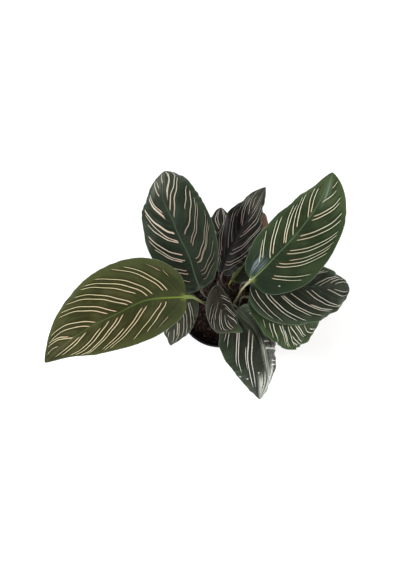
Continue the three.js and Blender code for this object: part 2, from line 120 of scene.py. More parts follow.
LEAVES = [
    dict(
        name="leaf_01", base=(-46, -13, 247), foot=(1, 3), lean=0.75, reach=16, girth=1.25,
        heading=-174, turn=39, pitch=17, droop=31, length=186, width=99,
        roll=-9, twist=8, cup=7, arch=18, uneven=-0.14, fullness=0.46, taper=0.81,
        waves=(3, 1.6, 0.4), sway=(-0.055, 0.04, 0.03, 0.0),
        trim=((0, 2, 4, 5, -13), (2, 3, 1, -2, -5)),
        bend=((2.2, 1.7, 1.2, 1.0, 0.85), (2.2, 1.5, 1.05, 0.95, 0.95)),
        ruffle=(0.5, 0.7), point=2.5,
        shine=0.12, ground=("2b2c16", "413f26", "474c2b"), rib=("728434", "485a2f"), seam="2a2110",
        ink=("cdb997", "d2cb9f", 0.88), stalk=("4a482a", "6c7a3c"),
        washes=[("39452a", 0.45, 0.1, 0.3)],
        left=[
            (0.132, 0.1, 0.319, 0.8), (0.142, 0.62, 0.226, 0.8, 0.5), (0.168, 0.1, 0.429, 0.85),
            (0.265, 0.09, 0.613, 0.91), (0.301, 0.12, 0.653, 0.92), (0.465, 0.5, 0.66, 0.88, 0.8),
            (0.425, 0.12, 0.766, 0.92), (0.463, 0.14, 0.802, 0.95), (0.527, 0.14, 0.83, 0.89),
            (0.597, 0.22, 0.86, 0.86, 0.9), (0.691, 0.12, 0.904, 0.63), (0.739, 0.14, 0.936, 0.46),
        ],
        right=[
            (0.1, 0.65, 0.135, 0.78, 0.4), (0.15, 0.74, 0.22, 0.86, 0.5),
            (0.114, 0.23, 0.337, 0.86), (0.14, 0.22, 0.407, 0.9), (0.21, 0.16, 0.509, 0.88),
            (0.244, 0.14, 0.575, 0.91), (0.317, 0.25, 0.595, 0.89, 0.9), (0.349, 0.08, 0.643, 0.86),
            (0.379, 0.07, 0.707, 0.92), (0.461, 0.03, 0.758, 0.91), (0.515, 0.07, 0.78, 0.87),
            (0.603, 0.02, 0.878, 0.82), (0.649, 0.01, 0.894, 0.7), (0.778, 0, 0.934, 0.73),
            (0.794, 0.14, 0.916, 0.78), (0.88, 0.15, 0.96, 0.5, 0.6),
        ],
    ),
    dict(
        name="leaf_02", base=(-28, 4, 210), foot=(-3, 12), lean=0.75, reach=12, girth=0.9,
        heading=120, turn=-26, pitch=39, droop=76, length=181, width=89,
        roll=-4, twist=-15, cup=7, arch=19, uneven=-0.03, fullness=0.49, taper=0.71,
        waves=(4, 2.2, 2.2), sway=(-0.09, 0.0, 0.18, 0.1),
        trim=((-4, -4, 0, 3, -3), (0, 0, 2, 4, 12)),
        bend=((2.6, 2.2, 1.6, 0.85, 0.7), (3.4, 2.4, 1.8, 0.7, 0.7)),
        ruffle=(0.5, 1.2), wobble=(0.4, 1.1), point=1,
        shine=0.15, ground=("1b2219", "272d23", "2e3829"), rib=("56664e", "3e4c3a"), seam="1a120f",
        # Painted shade dulls the right half's stripes.
        ink=("bca896", "c3bca4", 1.08), painted_half_light=(0, -0.55), stalk=("241c18", "3a342a"),
        # A painted highlight at the tip.
        painted_highlights=[(0.8, 1.1, -0.1, 0.8, "8b917e", 0.35)],
        left=[
            (0.09, 0.3, 0.2, 0.8, 0.6), (0.148, 0.18, 0.27, 0.85), (0.172, 0.18, 0.32, 0.87),
            (0.238, 0.18, 0.391, 0.81, 0.9), (0.242, 0.08, 0.463, 0.89),
            (0.285, 0.09, 0.495, 0.88, 1.3), (0.371, 0.06, 0.571, 0.83), (0.381, 0.06, 0.653, 0.87),
            (0.439, 0.08, 0.693, 0.9, 2), (0.575, 0.24, 0.778, 0.81, 1.8),
            (0.615, 0.28, 0.806, 0.82), (0.75, 0.32, 0.925, 0.9), (0.828, 0.36, 0.915, 0.68, 0.8),
            (0.86, 0.05, 0.965, 0.4, 0.8),
        ],
        right=[
            (0.06, 0.35, 0.16, 0.84, 0.6), (0.098, 0.31, 0.23, 0.88, 0.8),
            (0.122, 0.29, 0.303, 0.9, 0.8), (0.19, 0.26, 0.479, 0.91),
            (0.194, 0.34, 0.447, 0.92, 0.8), (0.224, 0.25, 0.537, 0.94), (0.323, 0.29, 0.605, 0.82),
            (0.343, 0.26, 0.657, 0.83), (0.413, 0.19, 0.733, 0.84, 1.5),
            (0.585, 0.44, 0.77, 0.82, 0.9), (0.545, 0.06, 0.885, 0.72, 1.2),
            (0.605, 0, 0.955, 0.84, 1.3), (0.739, 0, 0.96, 0.42, 2.6),
        ],
    ),
    dict(
        name="leaf_03", base=(2, 36, 163), foot=(15, 19), reach=16, girth=0.8,
        heading=70, turn=-17, pitch=40, droop=18, length=130, width=63,
        roll=-33, twist=-6, cup=9, arch=18, uneven=0.02, fullness=0.54, taper=0.75,
        waves=(3, 2.6, 1.1), sway=(0.1, -0.05, -0.07, 0.15),
        trim=((0, 4, 8, 14, 14), (0, 0, 4, 16, -2)),
        bend=((2.0, 1.6, 1.5, 1.1, 1.0), (2.4, 2.3, 1.5, 1.0, 1.0)),
        ruffle=(0.5, 2.0), point=2,
        shine=0.08, ground=("0d0b09", "181613", "24261c"), rib=("232018", "1c1a15"), seam="0c0908",
        ink=("8a7a72", "9a9384", 0.95), stalk=("241a1e", "5e4a56"),
        # A painted highlight at the tip.
        painted_highlights=[(0.76, 1.1, -0.8, 0.8, "75756a", 0.28)],
        left=[
            (0.07, 0.45, 0.24, 0.9, 0.6), (0.1, 0.42, 0.3, 0.92, 0.6),
            (0.17, 0.48, 0.41, 0.97, 0.8), (0.214, 0.46, 0.479, 0.96), (0.289, 0.18, 0.625, 0.74),
            (0.363, 0.11, 0.677, 0.72), (0.5, 0.55, 0.74, 0.97, 0.5), (0.585, 0.12, 0.854, 0.82),
            (0.563, 0, 0.852, 0.62), (0.62, 0.5, 0.88, 0.95, 0.6), (0.7, 0, 0.95, 0.73),
            (0.774, 0, 0.9, 0.3, 0.8),
        ],
        right=[
            (0.044, 0.11, 0.265, 0.83, 0.5), (0.11, -0.11, 0.363, 0.93), (0.146, 0.01, 0.475, 0.97),
            (0.24, 0.01, 0.691, 0.96), (0.295, 0.09, 0.747, 0.96), (0.459, 0.18, 0.84, 0.92),
            (0.509, 0.22, 0.87, 0.8), (0.651, 0.24, 0.92, 0.5), (0.74, 0.2, 0.95, 0.3),
        ],
    ),
    dict(
        name="leaf_04", base=(35, 11, 232), foot=(21, 3), reach=20, girth=0.95,
        heading=37, turn=30, pitch=31, droop=39, length=172, width=90,
        roll=-7, twist=-11, cup=3, arch=22, uneven=-0.11, fullness=0.45, taper=0.78,
        waves=(4, 2.0, 0.0), sway=(0.02, -0.02, -0.05, 0.0),
        trim=((0, -3, -7, -7, -20), (0, 3, 2, 9, 12)),
        bend=((2.0, 1.6, 1.4, 1.05, 1.0), (2.3, 1.9, 1.25, 1.0, 0.95)),
        ruffle=(0.4, 0.6), wobble=(0.2, 0.2), point=-1,
        shine=0.05, ground=("222a1b", "313926", "35422a"), rib=("6f7f40", "4a5c44"), seam="1c2012",
        ink=("c8b798", "dadbbc", 0.95), painted_half_light=(0, -0.3), stalk=("5a563f", "8b8a66"),
        # Painted reflections of the window at the base and beside the midrib.
        painted_highlights=[
            (0.1, 0.18, 0.2, 0.6, "67868e", 0.2), (0.06, 0.13, 0.3, 0.42, "d4e2e8", 0.8),
            (0.09, 0.14, 0.08, 0.18, "c4d6e4", 0.8), (0.76, 0.95, -0.22, -0.02, "8d9f92", 0.4),
        ],
        specks=[(0.13, -0.72, 0.35)],
        washes=[("5c6b45", 0.62, 0.82, 0.35), ("18221a", 0.34, 0.04, 0.75)],
        left=[
            (0.136, 0.32, 0.281, 0.76, 0.8), (0.176, 0.33, 0.351, 0.88, 0.9),
            (0.214, 0.11, 0.477, 0.85), (0.251, 0.14, 0.517, 0.81), (0.359, 0.12, 0.649, 0.82),
            (0.369, 0.07, 0.669, 0.74), (0.443, 0.06, 0.739, 0.79), (0.509, 0.13, 0.77, 0.77),
            (0.607, 0.01, 0.838, 0.69), (0.649, 0.02, 0.844, 0.47),
        ],
        right=[
            (0.13, 0.4, 0.263, 0.87, 0.9), (0.152, 0.36, 0.327, 0.9, 0.9),
            (0.204, 0.18, 0.491, 0.89), (0.234, 0.18, 0.531, 0.89), (0.3, 0.32, 0.565, 0.91, 0.8),
            (0.319, 0.15, 0.613, 0.91), (0.347, 0.15, 0.629, 0.89), (0.431, 0.12, 0.703, 0.87),
            (0.467, 0.12, 0.749, 0.86, 1.2), (0.601, 0.14, 0.8, 0.74), (0.631, 0.12, 0.834, 0.76),
            (0.752, 0.14, 0.866, 0.55), (0.872, 0.33, 0.938, 0.68, 0.8),
        ],
    ),
    dict(
        name="leaf_05", base=(37, 14, 202), foot=(29, 10), reach=18, girth=0.95,
        heading=-7, turn=19, pitch=1, droop=48, length=165, width=87,
        roll=11, twist=9, cup=8, arch=16, uneven=-0.16, fullness=0.41, taper=0.78,
        waves=(5, 2.6, 2.9), sway=(0.0, 0.04, 0.12, 0.05),
        trim=((0, 0, 0, -4, -6), (0, 0, 0, 4, 14)),
        bend=((2.3, 2.0, 1.3, 0.95, 0.85), (2.3, 1.95, 1.3, 0.8, 0.75)),
        ruffle=(1.0, 1.2), point=-4,
        shine=0.1, ground=("151811", "25291f", "404b38"), rib=("3c4d38", "2a352a"), seam="15130e",
        # Painted shade dulls the left half's stripes, where leaf_04 shades them.
        ink=("a8a391", "cdceba", 1.0), painted_half_light=(-0.7, 0), stalk=("2a2420", "3a3a28"),
        left=[
            *HIDDEN_STRIPES, (0.37, 0.1, 0.6, 0.88), (0.405, 0.12, 0.64, 0.84),
            (0.523, 0.5, 0.673, 0.85, 0.8), (0.547, 0.15, 0.775, 0.8, 1.2),
            (0.585, 0.1, 0.82, 0.86, 1.1), (0.7, 0.3, 0.87, 0.92, 0.9), (0.76, 0.28, 0.93, 0.92),
        ],
        right=[
            (0.014, 0.6, 0.212, 0.93, 0.6), (0.042, 0.29, 0.289, 0.93, 0.8),
            (0.124, 0.28, 0.407, 0.89), (0.164, 0.3, 0.497, 0.92), (0.255, 0.27, 0.541, 0.81),
            (0.269, 0.24, 0.635, 0.86), (0.331, 0.17, 0.737, 0.85), (0.53, 0.5, 0.765, 0.85, 1.3),
            (0.465, 0.09, 0.882, 0.97), (0.509, 0.06, 0.9, 0.98), (0.687, 0.03, 0.96, 0.65),
            (0.766, 0.03, 0.96, 0.3, 0.9),
        ],
    ),
    dict(
        name="leaf_06", base=(37, 0, 173), foot=(26, -6), reach=14, girth=0.9,
        heading=-17, turn=15, pitch=-19, droop=45, length=159, width=85,
        roll=-10, twist=32, cup=10, arch=13, uneven=-0.15, fullness=0.59, taper=0.69,
        waves=(4, 2.4, 1.0), sway=(0.0, 0.0, -0.08, 0.0),
        trim=((0, 0, 0, 0, -4), (0, 2, 5, 0, -6)),
        bend=((2.3, 2.0, 1.3, 0.95, 0.85), (1.3, 1.2, 1.4, 1.5, 1.0)),
        ruffle=(0.8, 1.6), point=0,
        shine=0.03, ground=("27321f", "394629", "475a3a"), rib=("4a6240", "3a4c34"), seam="1e2012",
        ink=("e8e6d4", "f0f0d4", 1.15), stalk=("2a2420", "3a3e2a"),
        left=[
            *HIDDEN_STRIPES, (0.4, 0.1, 0.66, 0.88), (0.435, 0.12, 0.7, 0.84),
            (0.56, 0.1, 0.78, 0.8), (0.6, 0.12, 0.82, 0.78), (0.7, 0.1, 0.88, 0.7),
        ],
        right=[
            (0.16, 0.65, 0.21, 0.82, 0.6), (0.232, 0.58, 0.303, 0.92), (0.269, 0.52, 0.357, 0.97),
            (0.339, 0.45, 0.481, 0.91), (0.371, 0.42, 0.515, 0.94), (0.425, 0.57, 0.531, 0.94, 0.8),
            (0.445, 0.39, 0.579, 0.9, 0.8), (0.479, 0.36, 0.731, 0.86), (0.561, 0.8, 0.635, 0.92),
            (0.525, 0.62, 0.727, 0.95, 0.8), (0.545, 0.31, 0.733, 0.67), (0.581, 0.29, 0.772, 0.65),
            (0.681, 0.24, 0.918, 0.76, 1.1), (0.818, 0.38, 0.928, 0.55, 1.2),
        ],
    ),
    dict(
        name="leaf_07", base=(-5, 15, 184), foot=(8, 12), reach=9, girth=0.62,
        heading=-92, turn=66, pitch=-7, droop=37, length=77, width=42,
        roll=-4, twist=4, cup=1, arch=25, uneven=-0.13, fullness=0.75, taper=0.64,
        waves=(3, 1.2, 0.5),
        trim=((0, -6, -16, -12, -40), (0, 0, 6, 8, -36)),
        bend=((2.0, 2.0, 3.2, 1.1, 1.0), (1.2, 1.2, 1.3, 1.15, 1.1)),
        ruffle=(0.5, 0.5), point=5,
        shine=0.15, ground=("201f18", "322f29", "4a4b40"), rib=("23221b", "26271d"), seam="12100c",
        ink=("857d74", "d8d6c6", 0.85), painted_half_light=(0.15, -0.35), stalk=("2e2226", "3c3a2a"),
        washes=[("465a34", 0.78, 0.98, 0.75)],
        left=[
            (0.18, 0.3, 0.27, 0.85, 0.7), (0.224, 0.29, 0.389, 0.88, 0.9),
            (0.35, 0.2, 0.74, 0.73, 0.7), (0.425, 0.21, 0.72, 0.58, 0.7),
            (0.579, 0.11, 0.86, 0.54, 1.2),
        ],
        right=[
            (0.275, 0.05, 0.521, 0.6, 0.8), (0.283, 0.51, 0.499, 0.93, 0.7),
            (0.345, 0.37, 0.565, 0.94, 0.7), (0.459, 0.57, 0.661, 0.94, 0.8),
            (0.419, 0.11, 0.719, 0.71), (0.437, 0.07, 0.79, 0.68, 1.1), (0.531, 0.04, 0.838, 0.46),
            (0.657, 0.09, 0.846, 0.27),
        ],
    ),
    dict(
        name="leaf_08", base=(25, -8, 136), foot=(12, -5), reach=12, girth=0.9,
        heading=-48, turn=-58, pitch=6, droop=63, length=157, width=85,
        roll=-14, twist=-20, cup=-3, arch=28, uneven=-0.26, fullness=0.36, taper=0.86,
        waves=(4, 1.8, 2.0), sway=(0.14, 0.08, 0.2, 0.0),
        trim=((0, 4, 8, 8, 6), (0, 5, 5, 4, 3)),
        bend=(EVEN_BEND, (2.3, 2.2, 2.1, 2.0, 2.0)),
        ruffle=(0.8, 0.8), point=1,
        shine=0.25, ground=("1b2018", "2a2e24", "37442f"), rib=("5a744c", "3c5236"), seam="17150f",
        # A painted highlight whitens its stripes, most on the left half.
        ink=("dccab6", "e2e2d6", 1.15), painted_half_light=(0.9, 0.3), stalk=("2a2420", "3e4630"),
        # Painted light: the first patch lifts the shaded base, the rest are painted reflections.
        painted_highlights=[
            (-0.1, 0.3, -0.25, 0.9, "687360", 0.8), (0.36, 0.7, -0.06, 0.14, "c6cabc", 0.9),
            (0.7, 1.1, -0.4, -0.06, "d6d8cc", 0.95), (0.62, 1.1, 0.1, 0.64, "dfe2d8", 0.9),
            (0.36, 0.47, 0.6, 1.1, "a5a197", 0.6), (0.3, 0.6, 0.25, 0.5, "8d958a", 0.5),
        ],
        specks=[(0.641, -0.34, 1), (0.689, -0.75, 0.9), (0.655, -0.92, 1)],
        left=[
            (0.1, 0.35, 0.15, 0.6), (0.13, 0.35, 0.19, 0.6), (0.24, 0.45, 0.31, 0.88),
            (0.371, 0.26, 0.4, 0.56, 1.5), (0.435, 0.22, 0.505, 0.97, 2.3),
            (0.58, 0.58, 0.605, 0.92, 1.2), (0.615, 0.5, 0.64, 0.96, 1.5), (0.72, 0.35, 0.8, 0.9),
        ],
        right=[
            (0.132, 0.76, 0.21, 0.86, 0.5), (0.148, 0.67, 0.289, 0.83, 0.6),
            (0.158, 0.42, 0.537, 0.82), (0.178, 0.38, 0.623, 0.81), (0.371, 0.41, 0.595, 0.58, 0.7),
            (0.216, 0.1, 0.82, 0.66, 1.2), (0.271, 0.07, 0.824, 0.53, 1.2),
        ],
    ),
    dict(
        name="leaf_09", base=(-44, 12, 150), foot=(-9, 20), reach=12, girth=0.66,
        heading=-114, turn=5, pitch=-7, droop=54, length=91, width=48,
        roll=-4, twist=-6, cup=8, arch=17, uneven=0.03, fullness=0.46, taper=0.77,
        waves=(3, 1.4, 2.6), sway=(0.0, -0.04, -0.1, -0.05),
        trim=((0, -3, -3, 0, -18), (0, 0, -3, -5, -20)),
        bend=((2.0, 1.7, 1.3, 1.2, 1.0), EVEN_BEND),
        ruffle=(0.8, 0.8), point=2.5,
        shine=0.2, ground=("26271d", "36362a", "3a3e2f"), rib=("3c3a2c", "37392c"), seam="1e1a14",
        ink=("989084", "a4a290", 1.1), stalk=("2e2226", "3c3a2a"),
        left=[
            (0.138, 0.32, 0.447, 0.97, 0.9), (0.158, 0.22, 0.541, 0.91), (0.279, 0.21, 0.727, 0.93),
            (0.355, 0.2, 0.774, 0.77), (0.507, 0, 0.758, 0.32, 1.5), (0.519, 0.14, 0.896, 0.65),
            (0.653, -0.12, 0.92, 0.3),
        ],
        right=[
            (0.1, 0.15, 0.3, 0.82), (0.14, 0.15, 0.36, 0.86), (0.25, 0.12, 0.5, 0.85),
            (0.29, 0.12, 0.56, 0.88), (0.42, 0.2, 0.66, 0.88), (0.561, 0.22, 0.754, 0.73, 1.3),
            (0.725, 0.42, 0.824, 0.58, 1.2),
        ],
    ),
    dict(
        name="leaf_10", base=(-2, 55, 138), foot=(5, 25), reach=12, girth=0.66,
        heading=84, turn=7, pitch=16, droop=43, length=91, width=47,
        roll=-2, twist=-3, cup=11, arch=14, uneven=0, fullness=0.49, taper=0.66,
        waves=(4, 2.6, 0.8),
        trim=((0, 0, 0, 34, -12), (0, 0, 0, 14, -30)),
        bend=(EVEN_BEND, EVEN_BEND),
        ruffle=(1.4, 1.4), point=0,
        shine=0.12, ground=("15160f", "22231b", "2e3226"), rib=("3c3a2c", "37392c"), seam="14120e",
        ink=("988c85", "a69e94", 1.15), stalk=("2e2226", "3c3a2a"),
        both=[
            (0.1, 0.15, 0.3, 0.82), (0.14, 0.15, 0.36, 0.86), (0.27, 0.12, 0.5, 0.85),
            (0.31, 0.12, 0.56, 0.88), (0.44, 0.3, 0.74, 0.88, 1.3), (0.5, 0.3, 0.8, 0.88, 0.8),
            (0.58, 0.12, 0.93, 0.6, 1.3), (0.63, 0.08, 0.95, 0.42),
        ],
    ),
    dict(
        name="leaf_11", base=(16, 29, 150), foot=(24, 20), reach=14, girth=0.7,
        heading=45, turn=42, pitch=30, droop=4, length=110, width=48,
        roll=4, twist=0, cup=4, arch=14, left_arch=-165, uneven=0, fullness=0.55, taper=0.7,
        waves=(3, 0.8, 0),
        trim=((0, 0, 0, 0, 0), (0, 0, 0, -12, -30)),
        bend=(EVEN_BEND, EVEN_BEND),
        ruffle=(0.4, 0.4), point=-5,
        # Its upper face is painted dark, as painted shade under leaf_04, so its stripes nearly
        # vanish.
        shine=0.2, ground=("1a1e12", "23291a", "2c3222"), rib=("7a7e3c", "4e5432"), seam="16170f",
        ink=("45402f", "454232", 0.6), stalk=("221a14", "75762f"),
        washes=[("8c7060", 0.4, 0.6, 0.95)], underside=("3a3d22", "50552d", "74773e"),
        both=[
            (0.1, 0.15, 0.3, 0.82), (0.14, 0.15, 0.36, 0.86), (0.3, 0.12, 0.52, 0.85),
            (0.35, 0.12, 0.58, 0.88),
        ],
    ),
]

# ---------------------------------------------------------------- camera and light

camera_data = bpy.data.cameras.new("camera")
camera_data.lens = 35
camera_data.sensor_width = 36
camera = bpy.data.objects.new("camera", camera_data)
camera.location = (-28.7 * MM, -138.1 * MM, 904.7 * MM)
camera.rotation_euler = (math.radians(12), 0, 0)
bpy.context.scene.collection.objects.link(camera)
bpy.context.scene.camera = camera
bpy.context.scene.view_settings.view_transform = "Standard"

CENTRE = Vector((0, 0, 0.15))


def softbox(name, place, size, power, color=(1, 1, 1), mirrored=False):
    """A round lamp aimed at the plant. Only a mirrored one shows on shiny skins."""
    data = bpy.data.lights.new(name, "AREA")
    data.shape = "DISK"
    data.size = size
    data.energy = power
    data.color = color
    light = bpy.data.objects.new(name, data)
    light.location = place
    light.rotation_euler = (CENTRE - Vector(place)).to_track_quat("-Z", "Y").to_euler()
    light.visible_glossy = mirrored
    bpy.context.scene.collection.objects.link(light)


softbox("window_light", (-1.36, 0.19, 1.15), 0.8, 22, (0.94, 0.98, 1.0))
softbox("window_pane", (-1.44, 0.1, 1.05), 0.45, 4.5, (0.9, 0.96, 1.0), mirrored=True)
softbox("front_light", (-0.5, -1.5, 1.3), 1.2, 14)
softbox("side_light", (1.6, -0.4, 1.1), 1.2, 16, (1.0, 0.99, 0.97))
softbox("back_light", (0.4, 1.6, 1.2), 1.2, 16)


def studio_dome():
    """White walls all round and a dimmer ceiling."""
    world = bpy.data.worlds.new("studio")
    world.use_nodes = True
    nodes, links = world.node_tree.nodes, world.node_tree.links
    direction = nodes.new("ShaderNodeTexCoord").outputs["Generated"]
    split = nodes.new("ShaderNodeSeparateXYZ")
    links.new(direction, split.inputs[0])
    fade = nodes.new("ShaderNodeMapRange")
    fade.interpolation_type = "SMOOTHSTEP"
    links.new(split.outputs["Z"], fade.inputs["Value"])
    for socket, value in {"From Min": 0.1, "From Max": 0.9, "To Min": 0.8, "To Max": 0.22}.items():
        fade.inputs[socket].default_value = value
    links.new(fade.outputs[0], nodes["Background"].inputs["Strength"])
    nodes["Background"].inputs["Color"].default_value = (1.0, 1.0, 0.99, 1)
    bpy.context.scene.world = world


studio_dome()


# ---------------------------------------------------------------- materials

def rgb(code):
    """Linear colour of a six-digit sRGB code."""
    channels = [int(code[i:i + 2], 16) / 255 for i in (0, 2, 4)]
    linear = [c / 12.92 if c <= 0.04045 else ((c + 0.055) / 1.055) ** 2.4 for c in channels]
    return (*linear, 1.0)


class Look:
    """A material whose nodes are added by short calls."""

    def __init__(self, name, roughness=0.5, **sockets):
        self.material = bpy.data.materials.new(name)
        self.material.use_nodes = True
        self.tree = self.material.node_tree
        self.surface = self.tree.nodes["Principled BSDF"]
        self.surface.inputs["Roughness"].default_value = roughness
        for socket, value in sockets.items():
            self.surface.inputs[socket.replace("_", " ")].default_value = value
        self.place = self.node("TexCoord").outputs["Object"]

    def node(self, kind, inputs=None, **settings):
        made = self.tree.nodes.new("ShaderNode" + kind)
        for name, value in settings.items():
            setattr(made, name, value)
        for name, value in (inputs or {}).items():
            self.put(made.inputs[name], value)
        return made

    def put(self, socket, value):
        if isinstance(value, bpy.types.NodeSocket):
            self.tree.links.new(value, socket)
        else:
            socket.default_value = value

    def attribute(self, name):
        """A value that the mesh holds for each vertex."""
        return self.node("Attribute", attribute_name=name).outputs["Fac"]

    def math(self, operation, *values):
        return self.node("Math", dict(enumerate(values)), operation=operation).outputs[0]

    def plus(self, first, second):
        return self.math("ADD", first, second)

    def times(self, *values):
        product = values[0]
        for value in values[1:]:
            product = self.math("MULTIPLY", product, value)
        return product

    def distance(self, x, y):
        return self.math("SQRT", self.plus(self.times(x, x), self.times(y, y)))

    def ramp(self, value, low, high, start=0.0, end=1.0):
        """Start up to low, end from high on, and a smooth change between them."""
        sockets = {
            "Value": value, "From Min": low, "From Max": high, "To Min": start, "To Max": end,
        }
        return self.node("MapRange", sockets, interpolation_type="SMOOTHSTEP").outputs[0]

    def mix(self, share, first, second):
        return self.node("Mix", {0: share, 6: first, 7: second}, data_type="RGBA").outputs[2]

    def cloud(self, scale, detail=2.0, stretch=None):
        """Noise from 0 to 1; scale is in waves per metre."""
        place = self.place
        if stretch:
            place = self.node("Mapping", {"Vector": place, "Scale": stretch}).outputs[0]
        sockets = {"Vector": place, "Scale": scale, "Detail": detail}
        return self.node("TexNoise", sockets).outputs["Fac"]

    def bump(self, height, distance, strength):
        sockets = {"Height": height, "Distance": distance, "Strength": strength}
        return self.node("Bump", sockets).outputs["Normal"]

    def finish(self, color, roughness=None, normal=None):
        self.put(self.surface.inputs["Base Color"], color)
        if roughness is not None:
            self.put(self.surface.inputs["Roughness"], roughness)
        if normal is not None:
            self.put(self.surface.inputs["Normal"], normal)
        return self.material


STRIPE_GROUPS = ("_odd", "_even")
STRIPE_KEYS = ("stripe", "pitch", "begin", "end", "broad")


def stripe_mask(look, width, group):
    """How much of a point one group's stripes cover, how far along its way the stripe is, and
    how much of the darker seam and of the wide dark band beside it there is."""
    count, edge = look.attribute("stripe" + group), look.attribute("edge")
    begin, end = look.attribute("begin" + group), look.attribute("end" + group)
    off = look.math("ABSOLUTE", look.math("SUBTRACT", count, look.math("ROUND", count)))
    distance = look.times(off, look.attribute("pitch" + group))
    way = look.node("MapRange", {"Value": edge, "From Min": begin, "From Max": end}).outputs[0]
    ragged = look.math("MULTIPLY_ADD", look.cloud(170, 1), 0.5, 0.75)
    taper = look.ramp(way, 0.1, 1.0, 1.1, 0.62)
    half = look.times(taper, ragged, look.attribute("broad" + group), width / 2)
    soft = 0.2
    body = look.ramp(distance, look.plus(half, -soft), look.plus(half, soft), 1.0, 0.0)
    started = look.ramp(edge, look.plus(begin, -0.02), look.plus(begin, 0.02))
    running = look.ramp(edge, look.plus(end, -0.05), end, 1.0, 0.0)
    reach = look.times(started, running)
    seam = look.times(look.ramp(distance, 0.8, 1.8, 0.85, 0.0), reach)
    band = look.times(look.ramp(distance, 0.8, 5.0, 0.5, 0.0), reach)
    return look.times(body, reach), way, seam, band


def ground_color(look, leaf, patches, ripple):
    """The bare blade: mottled, paler outward and along its fine veins, and its washes."""
    dark, light, margin = (rgb(code) for code in leaf["ground"])
    color = look.mix(look.ramp(patches, 0.35, 0.68), dark, light)
    color = look.mix(look.ramp(look.attribute("edge"), 0.5, 1.0, 0.0, 0.7), color, margin)
    color = look.mix(look.ramp(ripple, 0.55, 1.0, 0.0, 0.16), color, margin)
    across = look.times(look.attribute("across"), 1.5)
    drift = look.math("MULTIPLY_ADD", look.attribute("vein"), 0.4, across)
    strand = look.node("TexNoise", {"W": drift, "Scale": 1.0}, noise_dimensions="1D")
    color = look.mix(look.ramp(strand.outputs["Fac"], 0.48, 0.7, 0.0, 0.4), color, margin)
    along = look.attribute("along")
    for tint, start, full, strength in leaf.get("washes", []):
        color = look.mix(look.ramp(along, start, full, 0.0, strength), color, rgb(tint))
    return color


def paint_stripes(look, leaf, color, patches):
    """The pinstripes with their seams and dark bands, and on each half's stripes the painted shade
    that dulls them and the painted highlight that whitens them.
    """
    dark = rgb(leaf["ground"][0])
    start, finish, width = leaf["ink"]
    groups = [stripe_mask(look, width, group) for group in STRIPE_GROUPS]
    for _, _, seam, band in groups:
        color = look.mix(band, color, dark)
        color = look.mix(seam, color, rgb(leaf["seam"]))
    # Painted shade dulls a half's stripes, less toward the tip, and a painted highlight whitens
    # them.
    left, right = leaf.get("painted_half_light", (0, 0))
    across = look.attribute("across")
    half_shade = look.ramp(across, -0.02, 0.02, max(-right, 0), max(-left, 0))
    half_shade = look.times(half_shade, look.ramp(look.attribute("along"), 0.45, 0.75, 1.0, 0.2))
    half_highlight = look.ramp(across, -0.02, 0.02, max(right, 0), max(left, 0))
    wander = look.math("MULTIPLY_ADD", patches, 0.8, -0.4)
    for body, way, _, _ in groups:
        blush = look.ramp(look.plus(way, wander), 0.0, 0.75)
        ink = look.mix(half_shade, look.mix(blush, rgb(start), rgb(finish)), dark)
        ink = look.mix(half_highlight, ink, rgb("f2f2ea"))
        color = look.mix(look.times(body, 0.94), color, ink)
    return color


def paint_rib_and_rim(look, leaf, color, line):
    """The midrib, the glow round the stalk's joint and the pale rim, which is partly the margin's
    own paler colour and partly a painted highlight.
    """
    along = look.attribute("along")
    near, far = (rgb(code) for code in leaf["rib"])
    share = look.times(line, look.ramp(along, 0.55, 1.0, 0.9, 0.35))
    color = look.mix(share, color, look.mix(look.ramp(along, 0.0, 0.3), near, far))
    beside = look.ramp(look.attribute("rib"), 1, 7, 1.0, 0.1)
    color = look.mix(look.times(look.ramp(along, 0.0, 0.05, 0.7, 0.0), beside), color, near)
    # Pale rim: partly the margin's own colour, partly a painted highlight along it.
    pale = look.mix(0.4, rgb(leaf["ground"][2]), rgb("9db09a"))
    return look.mix(look.ramp(look.attribute("rim"), 0.3, 1.0, 0.6, 0.0), color, pale)


def painted_highlight_patch(look, low, high, inner, outer, strength):
    """A painted highlight: a patch with soft edges and streaks that run along the leaf."""
    along, across = look.attribute("along"), look.attribute("across")
    soft = 0.09
    patch = look.times(
        look.ramp(along, low - soft, low + soft), look.ramp(along, high - soft, high + soft, 1, 0),
        look.ramp(across, inner - soft, inner + soft),
        look.ramp(across, outer - soft, outer + soft, 1, 0),
    )
    place = look.node("CombineXYZ", {"X": look.times(across, 19.0), "Y": look.times(along, 2.2)})
    streaks = look.node("TexNoise", {"Vector": place.outputs[0], "Scale": 1.0, "Detail": 2.0})
    return look.times(patch, look.ramp(streaks.outputs["Fac"], 0.42, 0.58, 0.06, 1.0), strength)


def speck(look, leaf, s, q, strength):
    """A round fleck about 1.6 mm wide."""
    half = leaf["width"] / 2 * 0.8
    x = look.times(look.plus(look.attribute("along"), -s), leaf["length"])
    y = look.times(look.plus(look.attribute("across"), -q), half)
    return look.ramp(look.distance(x, y), 0.6, 1.2, strength, 0.0)


def underside_color(look, leaf, patches, ripple, line):
    dark, light, vein = (rgb(code) for code in leaf.get("underside", WINE_RED))
    color = look.mix(look.ramp(patches, 0.3, 0.7), dark, light)
    color = look.mix(look.ramp(ripple, 0.3, 1.0, 0.0, 0.45), color, vein)
    return look.mix(look.times(line, 0.8), color, rgb(leaf["stalk"][1]))


